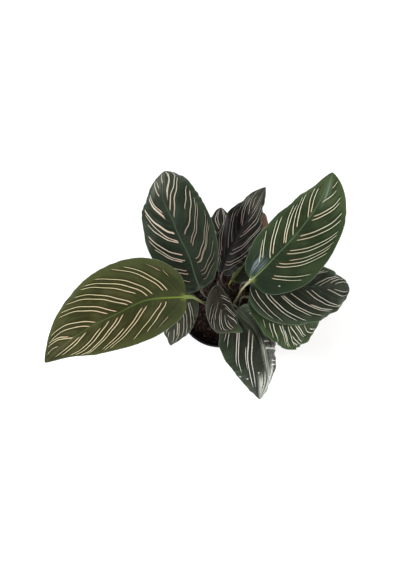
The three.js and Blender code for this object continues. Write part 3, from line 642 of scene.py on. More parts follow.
def leaf_material(leaf):
    look = Look(leaf["name"] + "_skin", Specular_IOR_Level=leaf["shine"])
    patches, grain = look.cloud(45, 3), look.cloud(1400, 2)
    cycle = look.math("DIVIDE", look.attribute("vein"), BLADE["fine_veins"])
    ripple = look.math("COSINE", look.times(cycle, 2 * math.pi))
    rib_half = look.math("MULTIPLY_ADD", look.attribute("along"), -0.55, 0.85)
    rib_line = look.ramp(
        look.attribute("rib"), look.times(rib_half, 0.6), look.times(rib_half, 1.5), 1.0, 0.0
    )
    upper = ground_color(look, leaf, patches, ripple)
    upper = paint_stripes(look, leaf, upper, patches)
    upper = paint_rib_and_rim(look, leaf, upper, rib_line)
    # Painted highlights and reflections, laid on as pale patches.
    for *patch, tint, strength in leaf.get("painted_highlights", []):
        upper = look.mix(painted_highlight_patch(look, *patch, strength), upper, rgb(tint))
    for place in leaf.get("specks", []):
        upper = look.mix(speck(look, leaf, *place), upper, rgb("e6e8e0"))
    back = underside_color(look, leaf, patches, ripple, rib_line)
    color = look.mix(look.attribute("face"), back, upper)
    roughness = look.math("MULTIPLY_ADD", grain, 0.14, 0.26)
    relief = look.math("MULTIPLY_ADD", grain, 0.35, look.times(ripple, 0.5))
    return look.finish(color, roughness, look.bump(relief, 0.00012, 0.7))


def stalk_material(leaf):
    low, high = (rgb(code) for code in leaf["stalk"])
    look = Look(leaf["name"] + "_stalk_skin", Specular_IOR_Level=0.5)
    streaks = look.cloud(260, 3, (1.0, 1.0, 0.12))
    fibre = look.math("SINE", look.times(look.attribute("around"), 2 * math.pi * 18))
    wander = look.math("MULTIPLY_ADD", streaks, 0.5, -0.25)
    color = look.mix(look.ramp(look.plus(look.attribute("along"), wander), 0.3, 0.85), low, high)
    color = look.mix(look.ramp(streaks, 0.5, 0.8, 0.0, 0.35), color, rgb("3c2a26"))
    color = look.mix(look.ramp(fibre, 0.2, 1.0, 0.0, 0.14), color, rgb("b9b777"))
    roughness = look.math("MULTIPLY_ADD", streaks, 0.2, 0.36)
    relief = look.math("MULTIPLY_ADD", look.cloud(1500, 2), 0.5, look.times(fibre, 0.5))
    return look.finish(color, roughness, look.bump(relief, 0.00012, 0.6))


def pot_material():
    """Dusty, scuffed black plastic, with a painted highlight in grey along the lip's inner edge."""
    look = Look("black_plastic", Specular_IOR_Level=0.35)
    dust = look.cloud(38, 4)
    scuff = look.cloud(180, 3, (1.0, 1.0, 0.15))
    grain = look.cloud(2600, 1)
    color = look.mix(look.ramp(dust, 0.4, 0.8), rgb("101012"), rgb("1d1c1d"))
    color = look.mix(look.ramp(scuff, 0.62, 0.85, 0.0, 0.35), color, rgb("3a3734"))
    split = look.node("SeparateXYZ", {0: look.place})
    x, y, height = (split.outputs[axis] for axis in "XYZ")
    # A painted highlight: a thin grey ring just inside the top of the lip.
    top, lip = POT["height"] * MM, POT["rim_radius"] * MM
    highlight_height = look.ramp(height, top - 2.5 * MM, top - MM)
    highlight_ring = look.ramp(look.distance(x, y), lip - 1.9 * MM, lip - 1.3 * MM, 0.6, 0)
    color = look.mix(look.times(highlight_height, highlight_ring), color, rgb("77747a"))
    roughness = look.math("MULTIPLY_ADD", dust, 0.22, look.math("MULTIPLY_ADD", scuff, 0.15, 0.24))
    relief = look.math("MULTIPLY_ADD", grain, 0.4, scuff)
    return look.finish(color, roughness, look.bump(relief, 0.00008, 0.5))


def crumbly_material(name, dark, middle, light, scale):
    look = Look(name, roughness=0.92, Specular_IOR_Level=0.25)
    patches = look.cloud(scale, 4)
    grain = look.cloud(scale * 6, 3)
    color = look.mix(look.ramp(patches, 0.36, 0.56), rgb(dark), rgb(middle))
    color = look.mix(look.ramp(grain, 0.56, 0.72, 0.0, 0.8), color, rgb(light))
    roughness = look.math("MULTIPLY_ADD", grain, 0.2, 0.8)
    return look.finish(color, roughness, look.bump(grain, 0.0008, 0.9))


def floor_material():
    """White, and glowing far from the plant, where it is as bright as the studio's walls."""
    look = Look("pale_floor", roughness=0.7, Specular_IOR_Level=0.3)
    color = look.mix(look.cloud(5, 2), rgb("fbfbfa"), rgb("ffffff"))
    away = look.node("VectorMath", {0: look.place}, operation="LENGTH").outputs["Value"]
    look.surface.inputs["Emission Color"].default_value = (1, 1, 0.99, 1)
    look.put(look.surface.inputs["Emission Strength"], look.ramp(away, 1.2, 3.6, 0.0, 0.42))
    return look.finish(color)


# ---------------------------------------------------------------- meshes

def add_piece(name, points, faces, material, node=None, attributes=None):
    """A smooth closed mesh that rides on the root; points are in millimetres."""
    mesh = bpy.data.meshes.new(name)
    mesh.from_pydata((np.asarray(points, float) * MM).tolist(), [], faces)
    for key, values in (attributes or {}).items():
        layer = mesh.attributes.new(key, "FLOAT", "POINT")
        layer.data.foreach_set("value", np.asarray(values, np.float32))
    turned = bmesh.new()
    turned.from_mesh(mesh)
    bmesh.ops.recalc_face_normals(turned, faces=turned.faces)
    turned.to_mesh(mesh)
    turned.free()
    mesh.shade_smooth()
    mesh.materials.append(material)
    piece = bpy.data.objects.new(name, mesh)
    bpy.context.scene.collection.objects.link(piece)
    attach(piece, "root")
    if node:
        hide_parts(node)
    return piece


def circle(radius, count):
    """Points round the pot's axis, as pairs of x and y."""
    angles = [2 * math.pi * k / count for k in range(count)]
    return [(radius * math.cos(angle), radius * math.sin(angle)) for angle in angles]


def ring_faces(rings, segments):
    """Faces of a closed body: a point on the axis, rings of points, and a last axis point."""
    last = 1 + rings * segments
    faces = []
    for k in range(segments):
        after = (k + 1) % segments
        faces.append([0, 1 + k, 1 + after])
        for a in range(1, last - segments, segments):
            faces.append([a + k, a + segments + k, a + segments + after, a + after])
        faces.append([last, last - segments + after, last - segments + k])
    return faces


def eased(x, knots, values):
    """Values at the knots, with a smooth step from each to the next."""
    cell = np.clip(np.searchsorted(knots, x, side="right") - 1, 0, len(knots) - 2)
    knots, values = np.asarray(knots, float), np.asarray(values, float)
    t = np.clip((x - knots[cell]) / (knots[cell + 1] - knots[cell]), 0, 1)
    return values[cell] + (values[cell + 1] - values[cell]) * t * t * (3 - 2 * t)


# ---------------------------------------------------------------- blades

def midrib_direction(leaf, s):
    """Unit vectors along the midrib."""
    heading = np.radians(leaf["heading"] + leaf["turn"] * s)
    pitch = np.radians(leaf["pitch"] - leaf["droop"] * s)
    level = np.cos(pitch)
    return np.stack([np.cos(heading) * level, np.sin(heading) * level, np.sin(pitch)], -1)


def midrib_frame(leaf, s):
    """Points of the midrib at s and its directions along, left and up there."""
    s = np.atleast_1d(np.asarray(s, float))
    fine = np.linspace(0, 1, 601)
    middles = midrib_direction(leaf, (fine[1:] + fine[:-1]) / 2)
    way = np.vstack([np.zeros(3), np.cumsum(middles, 0)]) * leaf["length"] / len(middles)
    point = np.stack([np.interp(s, fine, way[:, k]) for k in range(3)], -1) + leaf["base"]
    along = midrib_direction(leaf, s)
    heading = np.radians(leaf["heading"] + leaf["turn"] * s)
    level = np.stack([-np.sin(heading), np.cos(heading), 0 * s], -1)
    roll = np.radians(leaf["roll"] + leaf["twist"] * s)[:, None]
    left = np.cos(roll) * level + np.sin(roll) * np.cross(along, level)
    return point, along, left, np.cross(along, left)


def half_width(leaf, s, sign):
    """From the midrib's line to the margin, on the left for a sign of 1 and right for -1."""
    a, b = leaf["fullness"], leaf["taper"]
    widest = a / (a + b)
    outline = s ** a * (1 - s) ** b / (widest ** a * (1 - widest) ** b)
    left, right = (eased(s, TRIM_AT, (0, *trim, trim[-1])) / 100 for trim in leaf["trim"])
    trim = np.where(sign > 0, left, right)
    return leaf["width"] / 2 * outline * (1 + leaf["uneven"] * sign) * (1 + trim)


def blade_surface(leaf, s, v):
    """The blade's middle surface at rows of s; v runs from -1, the right margin, to 1."""
    point, along, left, up = (part[:, None] for part in midrib_frame(leaf, s[:, 0]))
    u = np.abs(v)
    sign = np.sign(v)
    half = half_width(leaf, s, sign)
    curl = np.where(v > 0, leaf.get("left_arch", leaf["arch"]), leaf["arch"])
    arch = np.radians(curl) * np.minimum(1, half / BLADE["full_curl_half_width"])
    bend = np.maximum(1e-6, np.abs(arch * u) / 2)
    chord = half * u * np.sin(bend) / bend
    fold = 0.06  # the two halves meet in a soft fold
    soft = (np.sqrt(u * u + fold * fold) - fold) / np.maximum(u, 1e-6)
    cup = math.radians(leaf["cup"])
    rise = chord * np.sin(cup * soft - arch * u / 2)
    across = sign * chord * np.cos(cup - arch * u / 2)
    count, height, phase = leaf["waves"]
    wave = height * np.sin(2 * math.pi * count * s + phase + 1.7 * sign) * u ** 3
    wave = wave * np.minimum(1, np.minimum(6 * s, 4 * (1 - s)))
    near_lobe = s / BLADE["lobe_at"] * np.exp(1 - s / BLADE["lobe_at"])
    lobe = BLADE["lobe_depth"] * leaf["width"] * near_lobe * v * v
    tip = leaf["point"] * np.clip((s - 0.9) / 0.1, 0, 1) ** 2
    return (
        point + along * (tip - lobe)[..., None] + left * across[..., None]
        + up * (rise + wave)[..., None]
    )


def midrib_sway(leaf, s):
    """How far the midrib lies from the middle of the blade, to the left, as a part of v."""
    return eased(s, SWAY_AT, (0, *leaf.get("sway", (0, 0, 0, 0))))


def stripe_curves(leaf, side, across):
    """A half's stripes in order: where each lies along the blade at each across value, where it
    springs from the midrib, its two ends and how broad it is."""
    rows = leaf.get("both") or leaf["left" if side > 0 else "right"]
    s0, a0, s1, a1, broad = np.array([(*row, 1.0)[:5] for row in rows]).T
    shift0, shift1 = midrib_sway(leaf, s0) * side, midrib_sway(leaf, s1) * side
    begin = np.maximum((a0 - shift0) / (1 - shift0), 0.01)
    end = (a1 - shift1) / (1 - shift1)
    power = eased(s0, BEND_AT, leaf["bend"][0 if side > 0 else 1])
    slope = (s1 - s0) / (end ** power - begin ** power)
    root = s0 - slope * begin ** power
    curves = root + slope * across[:, None] ** power
    order = np.argsort(root + slope * 0.5 ** power)
    return curves[:, order], root[order], begin[order], end[order], broad[order]


def spaced(curves, least=0.012):
    """The same curves, each at least a little further along than the one before."""
    steps = np.arange(curves.shape[1]) * least
    return np.maximum.accumulate(curves - steps, axis=1) + steps


def smooth_count(knots, s):
    """0 at the first knot, 1 at the second and so on; smooth and always rising with s."""
    last = knots.shape[1] - 1
    gaps = np.diff(knots, axis=1)
    near, far = np.minimum(gaps[:, 1:], gaps[:, :-1]), np.maximum(gaps[:, 1:], gaps[:, :-1])
    slopes = np.hstack([1 / gaps[:, :1], np.minimum(1 / near, 3 / far), 1 / gaps[:, -1:]])
    cell = np.clip((s[:, None] > knots).sum(1) - 1, 0, last - 1)
    row = np.arange(len(s))
    gap = gaps[row, cell]
    t = np.clip((s - knots[row, cell]) / gap, 0, 1)
    m0, m1 = slopes[row, cell] * gap, slopes[row, cell + 1] * gap
    inside = cell + 3 * t ** 2 - 2 * t ** 3
    inside = inside + (t ** 3 - 2 * t ** 2 + t) * m0 + (t ** 3 - t ** 2) * m1
    before = (s - knots[:, 0]) * slopes[:, 0]
    after = last + (s - knots[:, -1]) * slopes[:, -1]
    count = np.where(s < knots[:, 0], before, np.where(s > knots[:, -1], after, inside))
    return np.clip(count, -0.5, last + 0.5)


def pitch_in_mm(count, surface):
    """The distance on the blade over which the count rises by 1."""
    rows, columns = np.gradient(surface, axis=(0, 1))
    e, f, g = (rows * rows).sum(-1), (rows * columns).sum(-1), (columns * columns).sum(-1)
    by_row, by_column = np.gradient(count)
    steep = g * by_row ** 2 - 2 * f * by_row * by_column + e * by_column ** 2
    return np.clip(np.sqrt(np.maximum(e * g - f * f, 1e-9) / np.maximum(steep, 1e-9)), 0.5, 60)


def vein_places(curves, root, along):
    """Where the vein through each point springs from the midrib, from 0 to 1."""
    knots, springs = spaced(curves[:, ::2]), np.maximum.accumulate(root[::2])
    between = np.interp(smooth_count(knots, along), np.arange(len(springs)), springs)
    low = along / np.maximum(knots[:, 0], 1e-3) * springs[0]
    high = 1 - (1 - along) / np.maximum(1 - knots[:, -1], 1e-3) * (1 - springs[-1])
    return np.where(along < knots[:, 0], low, np.where(along > knots[:, -1], high, between))


def blade_markings(leaf, s, q, surface):
    """Per vertex: for both groups the stripe count, its pitch in mm, the stripe's ends and how
    broad it is; and where along the midrib the nearest vein springs, in mm."""
    keys = [key + group for group in STRIPE_GROUPS for key in STRIPE_KEYS]
    marks = {key: np.zeros(s.shape) for key in keys}
    vein = np.zeros(s.shape)
    for side in (-1, 1):
        here = q < 0 if side < 0 else q >= 0
        along, across = s[here], np.abs(q[here])
        wobble = leaf.get("wobble", (0.4, 0.4))[0 if side > 0 else 1] / leaf["length"]
        along = along + wobble * np.sin(2 * math.pi * (2.4 * across + 3 * along) + side)
        curves, root, *traits = stripe_curves(leaf, side, across)
        for first, group in enumerate(STRIPE_GROUPS):
            count = smooth_count(spaced(curves[:, first::2]), along)
            marks["stripe" + group][here] = count
            for key, trait in zip(("begin", "end", "broad"), traits):
                own = trait[first::2]
                marks[key + group][here] = np.interp(count, np.arange(len(own)), own)
        vein[here] = vein_places(curves, root, along) * leaf["length"]
    for group in STRIPE_GROUPS:
        marks["pitch" + group] = pitch_in_mm(marks["stripe" + group], surface)
    return marks, vein


def blade_grid(leaf):
    """Along and across values of the rows of vertices, which crowd at the base and the tip."""
    rows = round(leaf["length"] / BLADE["row_spacing"])
    columns = 2 * round(leaf["width"] / 2 / BLADE["column_spacing"]) + 1
    t = np.linspace(0, 1, rows + 1)
    even = 0.6  # share of an even spacing in the spacing of the rows
    s = even * t + (1 - even) * (1 - np.cos(math.pi * t)) / 2
    return np.meshgrid(s, np.linspace(-1, 1, columns), indexing="ij")


def blade_relief(leaf, s, q, vein, rib, rim, seed):
    """How far raised strips between the veins, buckles and the frilled margin lift the blade."""
    phase = np.random.default_rng(seed).uniform(0, 2 * math.pi, 4)
    quilt = np.sin(2 * math.pi * vein / BLADE["quilt_spacing"])
    quilt *= np.clip(rib / 6, 0, 1) * np.clip(rim / 8, 0.25, 1) * BLADE["quilt_height"]
    buckle = np.sin(11 * s + 3.1 * q + phase[0]) + np.sin(17 * s - 4.3 * q + phase[1])
    buckle = buckle * BLADE["buckle"] * 0.5 * np.clip(rib / 15, 0, 1)
    buckle *= np.clip(6 * s, 0, 1) * np.clip(5 * (1 - s), 0, 1)
    mm = s * leaf["length"]
    drift = 3 * np.sin(mm / BLADE["frill_drift"] + phase[2])
    frill = np.sin(mm / BLADE["frill_wave"] + drift + phase[3] * np.sign(q))
    frill *= 0.6 + 0.4 * np.sin(mm / BLADE["frill_swell"] + phase[3])
    frill *= np.where(q > 0, *leaf["ruffle"]) * np.abs(q) ** 5
    frill *= np.clip(8 * s, 0, 1) * np.clip(8 * (1 - s), 0, 1)
    return quilt + buckle + frill


def blade_points(leaf, surface, s, edge, rib, lift):
    """An upper and a lower sheet round the surface; at its base and its tip, one point each."""
    normals = np.cross(*np.gradient(surface, axis=(0, 1)))[1:-1]
    normals /= np.maximum(np.linalg.norm(normals, axis=-1, keepdims=True), 1e-9)
    groove = BLADE["groove"] * np.exp(-((rib / BLADE["groove_width"]) ** 2)) * (1 - s)
    deep = BLADE["rib_depth"] * leaf["girth"]
    ridge = deep * (1 - s) ** 0.6 * np.exp(-((rib / BLADE["rib_width"]) ** 2))
    flat = BLADE["thickness"] / 2
    thick = flat * np.where(edge > 0.999, 0.4, 1.0)
    over = surface[1:-1] + (lift + thick - groove)[..., None] * normals
    under = surface[1:-1] + (lift - thick - ridge)[..., None] * normals
    base, tip = surface[0, 0], surface[-1, 0]
    base_up, tip_up = midrib_frame(leaf, (0, 1))[3]
    ends = [
        base + base_up * flat, base - base_up * (flat + deep), tip + tip_up * flat,
        tip - tip_up * flat,
    ]
    return np.vstack([over.reshape(-1, 3), under.reshape(-1, 3), ends])


def blade_faces(rows, columns):
    """Faces of an upper and a lower sheet, each a grid of vertices with a base and a tip point,
    and of the strips that join them along both margins."""
    size = rows * columns
    grid = np.arange(size).reshape(rows, columns)
    a, b, c, d = grid[:-1, :-1], grid[:-1, 1:], grid[1:, 1:], grid[1:, :-1]
    quads = np.stack([a, d, c, b], -1).reshape(-1, 4)
    faces = quads.tolist() + (quads[:, ::-1] + size).tolist()
    base, tip = 2 * size, 2 * size + 2
    for lower in (0, 1):
        first, last = ((grid[row] + lower * size).tolist() for row in (0, -1))
        for k in range(columns - 1):
            faces.append([base + lower, first[k], first[k + 1]][::1 - 2 * lower])
            faces.append([tip + lower, last[k + 1], last[k]][::1 - 2 * lower])
    for k in (0, columns - 1):
        over = [base, *grid[:, k].tolist(), tip]
        under = [base + 1, *(grid[:, k] + size).tolist(), tip + 1]
        for i in range(rows + 1):
            quad = [over[i], under[i], under[i + 1], over[i + 1]]
            faces.append(quad if k else quad[::-1])
    return faces


def blade_piece(leaf, seed):
    """q is 0 on the midrib, wherever that wanders, and v is 0 in the middle of the blade."""
    s, q = blade_grid(leaf)
    sway = midrib_sway(leaf, s)
    v = np.clip(sway + q * (1 - sway * np.sign(q)), -1, 1)
    surface = blade_surface(leaf, s, v)
    marks, vein = blade_markings(leaf, s, q, surface)

    s, q, vein = s[1:-1], q[1:-1], vein[1:-1]
    half = half_width(leaf, s, np.sign(q))
    edge = np.abs(q)
    rib, rim = edge * half, (1 - edge) * half
    lift = blade_relief(leaf, s, q, vein, rib, rim, seed)
    points = blade_points(leaf, surface, s, edge, rib, lift)

    def both(values, at_base=0, at_tip=0):
        """The same values for both sheets, and those at their ends."""
        values = values.reshape(-1)
        return np.concatenate([values, values, [at_base, at_base, at_tip, at_tip]])

    rows, columns = s.shape
    middle = columns // 2
    facing = np.repeat([1.0, 0.0, 1.0, 0.0, 1.0, 0.0], [s.size, s.size, 1, 1, 1, 1])
    attributes = dict(
        along=both(s, 0, 1), edge=both(edge), rib=both(rib), rim=both(rim), across=both(q),
        vein=both(vein, vein[0, middle], vein[-1, middle]), face=facing,
    )
    for key, values in marks.items():
        attributes[key] = both(values[1:-1], values[0, middle], values[-1, middle])
    name = leaf["name"] + "_blade"
    piece = add_piece(
        name + "_fine", points, blade_faces(rows, columns), leaf_material(leaf),
        name, attributes,
    )
    blade_unwrap(piece, both(q * half / leaf["width"]), attributes["along"], facing)


def blade_unwrap(piece, across, along, facing):
    """The upper face in the left half of the map and the underside in the right half."""
    mesh = piece.data
    layer = mesh.uv_layers.new(name="OFBake")
    starts = np.zeros(len(mesh.loops), np.int32)
    mesh.loops.foreach_get("vertex_index", starts)
    sizes = np.array([len(p.vertices) for p in mesh.polygons])
    polygon = np.repeat(np.arange(len(sizes)), sizes)
    on_top = facing[starts]
    face_top, face_low = np.zeros(len(sizes)), np.ones(len(sizes))
    np.maximum.at(face_top, polygon, on_top)
    np.minimum.at(face_low, polygon, on_top)
    lies_on_top = face_top[polygon] > 0.5
    is_strip = lies_on_top & (face_low[polygon] < 0.5)
    x = across[starts] * BAKE_MAP["breadth"]
    outward = np.sign(x) * BAKE_MAP["skirt"] * (is_strip & (on_top < 0.5))
    middle = np.where(lies_on_top, BAKE_MAP["upper_face"], BAKE_MAP["underside"])
    u = middle + x + outward
    w = BAKE_MAP["margin"] + (1 - 2 * BAKE_MAP["margin"]) * along[starts]
    layer.data.foreach_set("uv", np.stack([u, w], -1).astype(np.float32).ravel())


# ---------------------------------------------------------------- stalks

def stalk_radius(leaf, t):
    """Thick at the foot, slim from 0.4 on, and a little thicker again at the joint."""
    foot, slim, joint = (STALK[key] for key in ("foot_radius", "middle_radius", "top_radius"))
    radius = foot + (slim - foot) * np.minimum(1, t / 0.4)
    return leaf["girth"] * (radius + (joint - radius) * eased(t, (0, 0.8, 0.95, 1), (0, 0, 1, 1)))


def stalk_line(leaf):
    """Centres, radii and places along the stalk, from inside the soil to under the midrib."""
    base, along, _, _ = (part[0] for part in midrib_frame(leaf, 0.0))
    x, y = leaf["foot"]
    start = np.array([x, y, SOIL["top"] + STALK["collar"]], float)
    end = base - along * (GAP + STALK["joint"])
    lean = leaf.get("lean", STALK["lean"])
    lower = start + (end - start) * np.array([lean, lean, STALK["foot_reach"]])
    upper = end - along * leaf["reach"]
    places = np.linspace(0, 1, STALK["steps"] + 1)
    radii = stalk_radius(leaf, places)
    t = places[:, None]
    w = 1 - t
    bow = w ** 3 * start + 3 * w * w * t * lower + 3 * w * t * t * upper + t ** 3 * end

    share = np.arange(1, STALK["tail_steps"] + 1) / STALK["tail_steps"]
    tail_radii = radii[-1] * (1 - 0.55 * share)
    midrib, _, _, up = midrib_frame(leaf, STALK["tail"] * share)
    tail = midrib - up * (BLADE["thickness"] / 2 + 0.75 * tail_radii)[:, None]
    centres = [(x, y, SOIL["top"] - STALK["depth"]), bow, end + along * STALK["joint"], tail]
    radii = np.concatenate([radii[:1], radii, radii[-1:], tail_radii])
    places = np.concatenate([[0], places, np.ones(1 + len(tail))])
    return np.vstack(centres), radii, places


def tube(centres, radii, sides, shape=None):
    """A closed tube: points and faces. shape(i, angle) scales the radius."""
    tangents = np.gradient(centres, axis=0)
    tangents /= np.linalg.norm(tangents, axis=1, keepdims=True)
    across = np.array([1.0, 0, 0])
    points = []
    for i, (centre, tangent) in enumerate(zip(centres, tangents)):
        across = across - tangent * (across @ tangent)
        across /= np.linalg.norm(across)
        other = np.cross(tangent, across)
        for k in range(sides):
            angle = 2 * math.pi * k / sides
            radius = radii[i] * (shape(i, angle) if shape else 1)
            points.append(centre + radius * (across * math.cos(angle) + other * math.sin(angle)))
    faces = []
    for start in range(0, len(points) - sides, sides):
        for k in range(sides):
            a, b = start + k, start + (k + 1) % sides
            faces.append([a, b, b + sides, a + sides])
    faces.append(list(range(sides))[::-1])
    faces.append(list(range(len(points) - sides, len(points))))
    return np.array(points), faces


def stalk_piece(leaf):
    centres, radii, places = stalk_line(leaf)
    sides = STALK["sides"]

    def shape(i, angle):
        """A sheathed, flattened foot with a seam, and fine ribs higher up."""
        sheath = max(0, 1 - places[i] / 0.38)
        seam = 0.1 * sheath * max(0, math.cos(angle)) ** 8
        return 1 + 0.12 * sheath * math.cos(2 * angle) + seam + 0.025 * math.cos(5 * angle)

    points, faces = tube(centres, radii, sides, shape)
    around = np.tile(np.arange(sides) / sides, len(centres))
    attributes = dict(along=np.repeat(places, sides), around=around)
    name = leaf["name"] + "_stalk"
    add_piece(name + "_fine", points, faces, stalk_material(leaf), name, attributes)


# ---------------------------------------------------------------- pot

WALL_TOP = POT["height"] - POT["band"]


def wall_radius(z):
    """Of the outer wall below the band."""
    top = POT["rim_radius"] - POT["rim_roll"] - POT["band_step"]
    return POT["base_radius"] + (top - POT["base_radius"]) * z / WALL_TOP


def pot_profile():
    """Radius and height from the underside's middle, up outside and down inside."""
    height, rim, wall, floor = POT["height"], POT["rim_radius"], POT["wall"], POT["floor"]
    band = rim - POT["rim_roll"]
    inner = band - wall
    return [
        (0, 0.9), (36.0, 0.9), (36.5, 0.0), (41.6, 0.0), (42.6, 0.5), (43.1, 1.6),
        (wall_radius(30), 30), (wall_radius(60), 60), (wall_radius(WALL_TOP - 1), WALL_TOP - 1),
        (wall_radius(WALL_TOP - 1) + 0.5, WALL_TOP - 0.4), (band - 0.4, WALL_TOP + 0.2),
        (band, WALL_TOP + 0.9), (band + 0.1, height - 4.2), (band + 0.1, height - 3.6),
        (rim - 0.25, height - 3.2), (rim, height - 2.4), (rim, height - 1.0),
        (rim - 0.25, height - 0.35), (rim - 0.9, height), (rim - 1.5, height - 0.1),
        (rim - 1.9, height - 0.6), (rim - 2.05, height - 1.5), (inner - 0.15, height - 3.4),
        (inner, WALL_TOP + 1.6), (inner - POT["band_step"] + 0.3, WALL_TOP + 0.1),
        (inner - POT["band_step"], WALL_TOP - 0.6), (wall_radius(30) - wall, 30),
        (wall_radius(floor) - wall + 0.1, floor + 1.2), (wall_radius(floor) - wall - 1, floor),
        (0, floor),
    ]


def pot_piece():
    (_, bottom), *profile, (_, floor) = pot_profile()
    rings = [(x, y, z) for radius, z in profile for x, y in circle(radius, POT["segments"])]
    points = [(0, 0, bottom), *rings, (0, 0, floor)]
    faces = ring_faces(len(profile), POT["segments"])
    piece = add_piece("pot_fine", points, faces, pot_material(), "pot")
    cut_drain_holes(piece)
    piece.data.set_sharp_from_angle(angle=math.radians(38))


def cut_drain_holes(piece):
    """A ring of round holes through the floor."""
    cutters = []
    for x, y in circle(POT["hole_circle"], POT["hole_count"]):
        bpy.ops.mesh.primitive_cylinder_add(
            vertices=32, radius=POT["hole_radius"] * MM, depth=8 * MM, location=(x * MM, y * MM, 0),
        )
        cutters.append(bpy.context.object)
        cut = piece.modifiers.new("hole", "BOOLEAN")
        cut.object = cutters[-1]
        cut.solver = "EXACT"
    bpy.context.view_layer.update()
    depsgraph = bpy.context.evaluated_depsgraph_get()
    mesh = bpy.data.meshes.new_from_object(piece.evaluated_get(depsgraph))
    piece.modifiers.clear()
    piece.data = mesh
    for cutter in cutters:
        bpy.data.objects.remove(cutter)


# ---------------------------------------------------------------- soil

def soil_height(x, y):
    """A low mound and lumps a few centimetres wide."""
    reach = math.hypot(x - SOIL["mound_at"][0], y - SOIL["mound_at"][1]) / SOIL["mound_radius"]
    mound = SOIL["mound_height"] * math.exp(-reach * reach)
    lumps = math.sin(0.31 * x + 1.3) * math.cos(0.27 * y - 0.4)
    lumps += 0.6 * math.sin(0.53 * x - 0.47 * y) + 0.4 * math.cos(0.81 * y + 0.36 * x + 2)
    return SOIL["top"] - SOIL["edge_drop"] / 2 + mound + SOIL["relief"] * lumps


def soil_piece():
    edge = SOIL["top"] - SOIL["edge_drop"]
    radius = wall_radius(edge) - POT["wall"] - GAP / 2
    bottom = POT["floor"] + GAP
    rings, segments = SOIL["rings"], SOIL["segments"]
    brim = 0.94  # share of the radius from where the lumps level out
    points = [(0, 0, soil_height(0, 0))]
    for i in range(1, rings + 1):
        share = i / rings
        for x, y in circle(radius * share, segments):
            rough = noise.noise(Vector((x / 4.5, y / 4.5, 0.3))) * 1.1
            rough += noise.noise(Vector((x / 1.7, y / 1.7, 5.1))) * 0.6
            height = soil_height(x, y)
            if share > brim:
                height += (edge - height) * (share - brim) / (1 - brim)
            points.append((x, y, height + rough))
    low = wall_radius(bottom) - POT["wall"] - 1.3
    points.extend((x, y, bottom) for x, y in circle(low, segments))
    points.append((0, 0, bottom))
    material = crumbly_material("peat", "191312", "2b221f", "50433b", 160)
    faces = ring_faces(rings + 1, segments)
    add_piece("soil_fine", points, faces, material, "soil")


def lump_shape():
    """A small ball's vertices and faces."""
    ball = bmesh.new()
    bmesh.ops.create_icosphere(ball, subdivisions=2, radius=1.0)
    points = np.array([v.co[:] for v in ball.verts])
    faces = [[v.index for v in f.verts] for f in ball.faces]
    ball.free()
    return points, faces


def add_bits(name, bits, material):
    """Many small closed meshes in one piece; each bit is its points and faces."""
    points, faces, start = [], [], 0
    for own_points, own_faces in bits:
        points.append(own_points)
        faces.extend([[i + start for i in face] for face in own_faces])
        start += len(own_points)
    add_piece(name, np.vstack(points), faces, material)


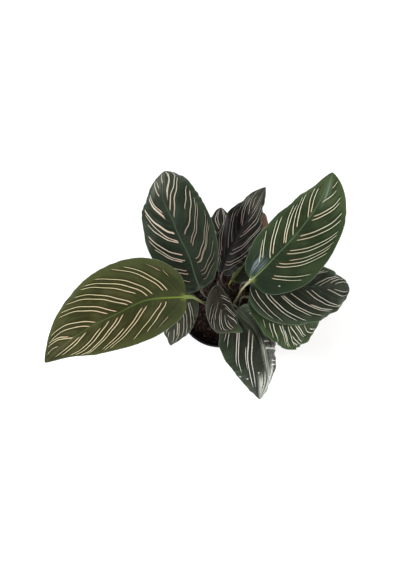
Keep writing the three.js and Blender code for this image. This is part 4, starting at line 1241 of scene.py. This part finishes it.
def scatter(name, count, seed, sizes, proportions, material, sink=0.3, reach=50):
    """Lumps of one kind pressed into the soil."""
    ball, faces = lump_shape()
    draw = random.Random(seed)
    bits = []
    for _ in range(count):
        radius = reach * math.sqrt(draw.random())
        angle = draw.uniform(0, 2 * math.pi)
        x, y = radius * math.cos(angle), radius * math.sin(angle)
        size = draw.uniform(*sizes)
        offset = Vector([draw.uniform(0, 100) for _ in range(3)])
        dents = np.array([1 + 0.55 * noise.noise(Vector(p) * 1.3 + offset) for p in ball])
        shape = ball * dents[:, None] * np.array(proportions) * size
        turn, tilt = draw.uniform(0, 2 * math.pi), draw.uniform(-0.5, 0.5)
        c, s = math.cos(tilt), math.sin(tilt)
        shape = shape @ np.array([[1, 0, 0], [0, c, s], [0, -s, c]])
        c, s = math.cos(turn), math.sin(turn)
        shape = shape @ np.array([[c, s, 0], [-s, c, 0], [0, 0, 1]])
        height = soil_height(x, y) + size * proportions[2] * (1 - 2 * sink)
        bits.append((shape + [x, y, height], faces))
    add_bits(name, bits, material)


def fibre_piece():
    """Thin roots and straws that lie on the soil."""
    draw = random.Random(31)
    bits = []
    reach, steps = FIBRES["reach"], FIBRES["steps"]
    for _ in range(FIBRES["count"]):
        x, y = (draw.uniform(-reach, reach) for _ in range(2))
        angle = draw.uniform(0, 2 * math.pi)
        bend = draw.uniform(-0.35, 0.35)
        length = draw.uniform(6, 17)
        rise = draw.uniform(0.3, 2.2)
        centres = []
        for i in range(steps):
            hump = rise * math.sin(math.pi * i / (steps - 1))
            centres.append([x, y, soil_height(x, y) + 0.2 + hump])
            angle += bend
            x += math.cos(angle) * length / steps
            y += math.sin(angle) * length / steps
        radius = draw.uniform(0.18, 0.42)
        radii = [radius * (1 - 0.6 * abs(2 * i / (steps - 1) - 1) ** 3) for i in range(steps)]
        bits.append(tube(np.array(centres), radii, FIBRES["sides"]))
    add_bits("soil_fibres", bits, crumbly_material("root_fibre", "3a2c22", "66523e", "8f7a60", 300))


# ---------------------------------------------------------------- the plant in its pot

pot_piece()
soil_piece()
peat = crumbly_material("peat_crumbs", "150f0f", "291f1c", "54463d", 240)
scatter("soil_crumbs", 900, 5, (0.7, 2.1), (1.0, 0.8, 0.65), peat)
bark = crumbly_material("bark_chips", "30221d", "493529", "684c3d", 200)
scatter("soil_bark", 120, 9, (1.2, 3.6), (1.0, 0.6, 0.28), bark, sink=0.15)
perlite = crumbly_material("perlite", "7a7368", "a29b90", "c4bfb5", 400)
scatter("soil_perlite", 22, 14, (0.5, 1.1), (1.0, 0.9, 0.8), perlite)
fibre_piece()
for number, leaf in enumerate(LEAVES, start=1):
    stalk_piece(leaf)
    blade_piece(leaf, number)

bpy.ops.mesh.primitive_plane_add(size=40, location=(0, 0, -0.0002))
floor = bpy.context.object
floor.name = "floor"
floor.data.materials.append(floor_material())
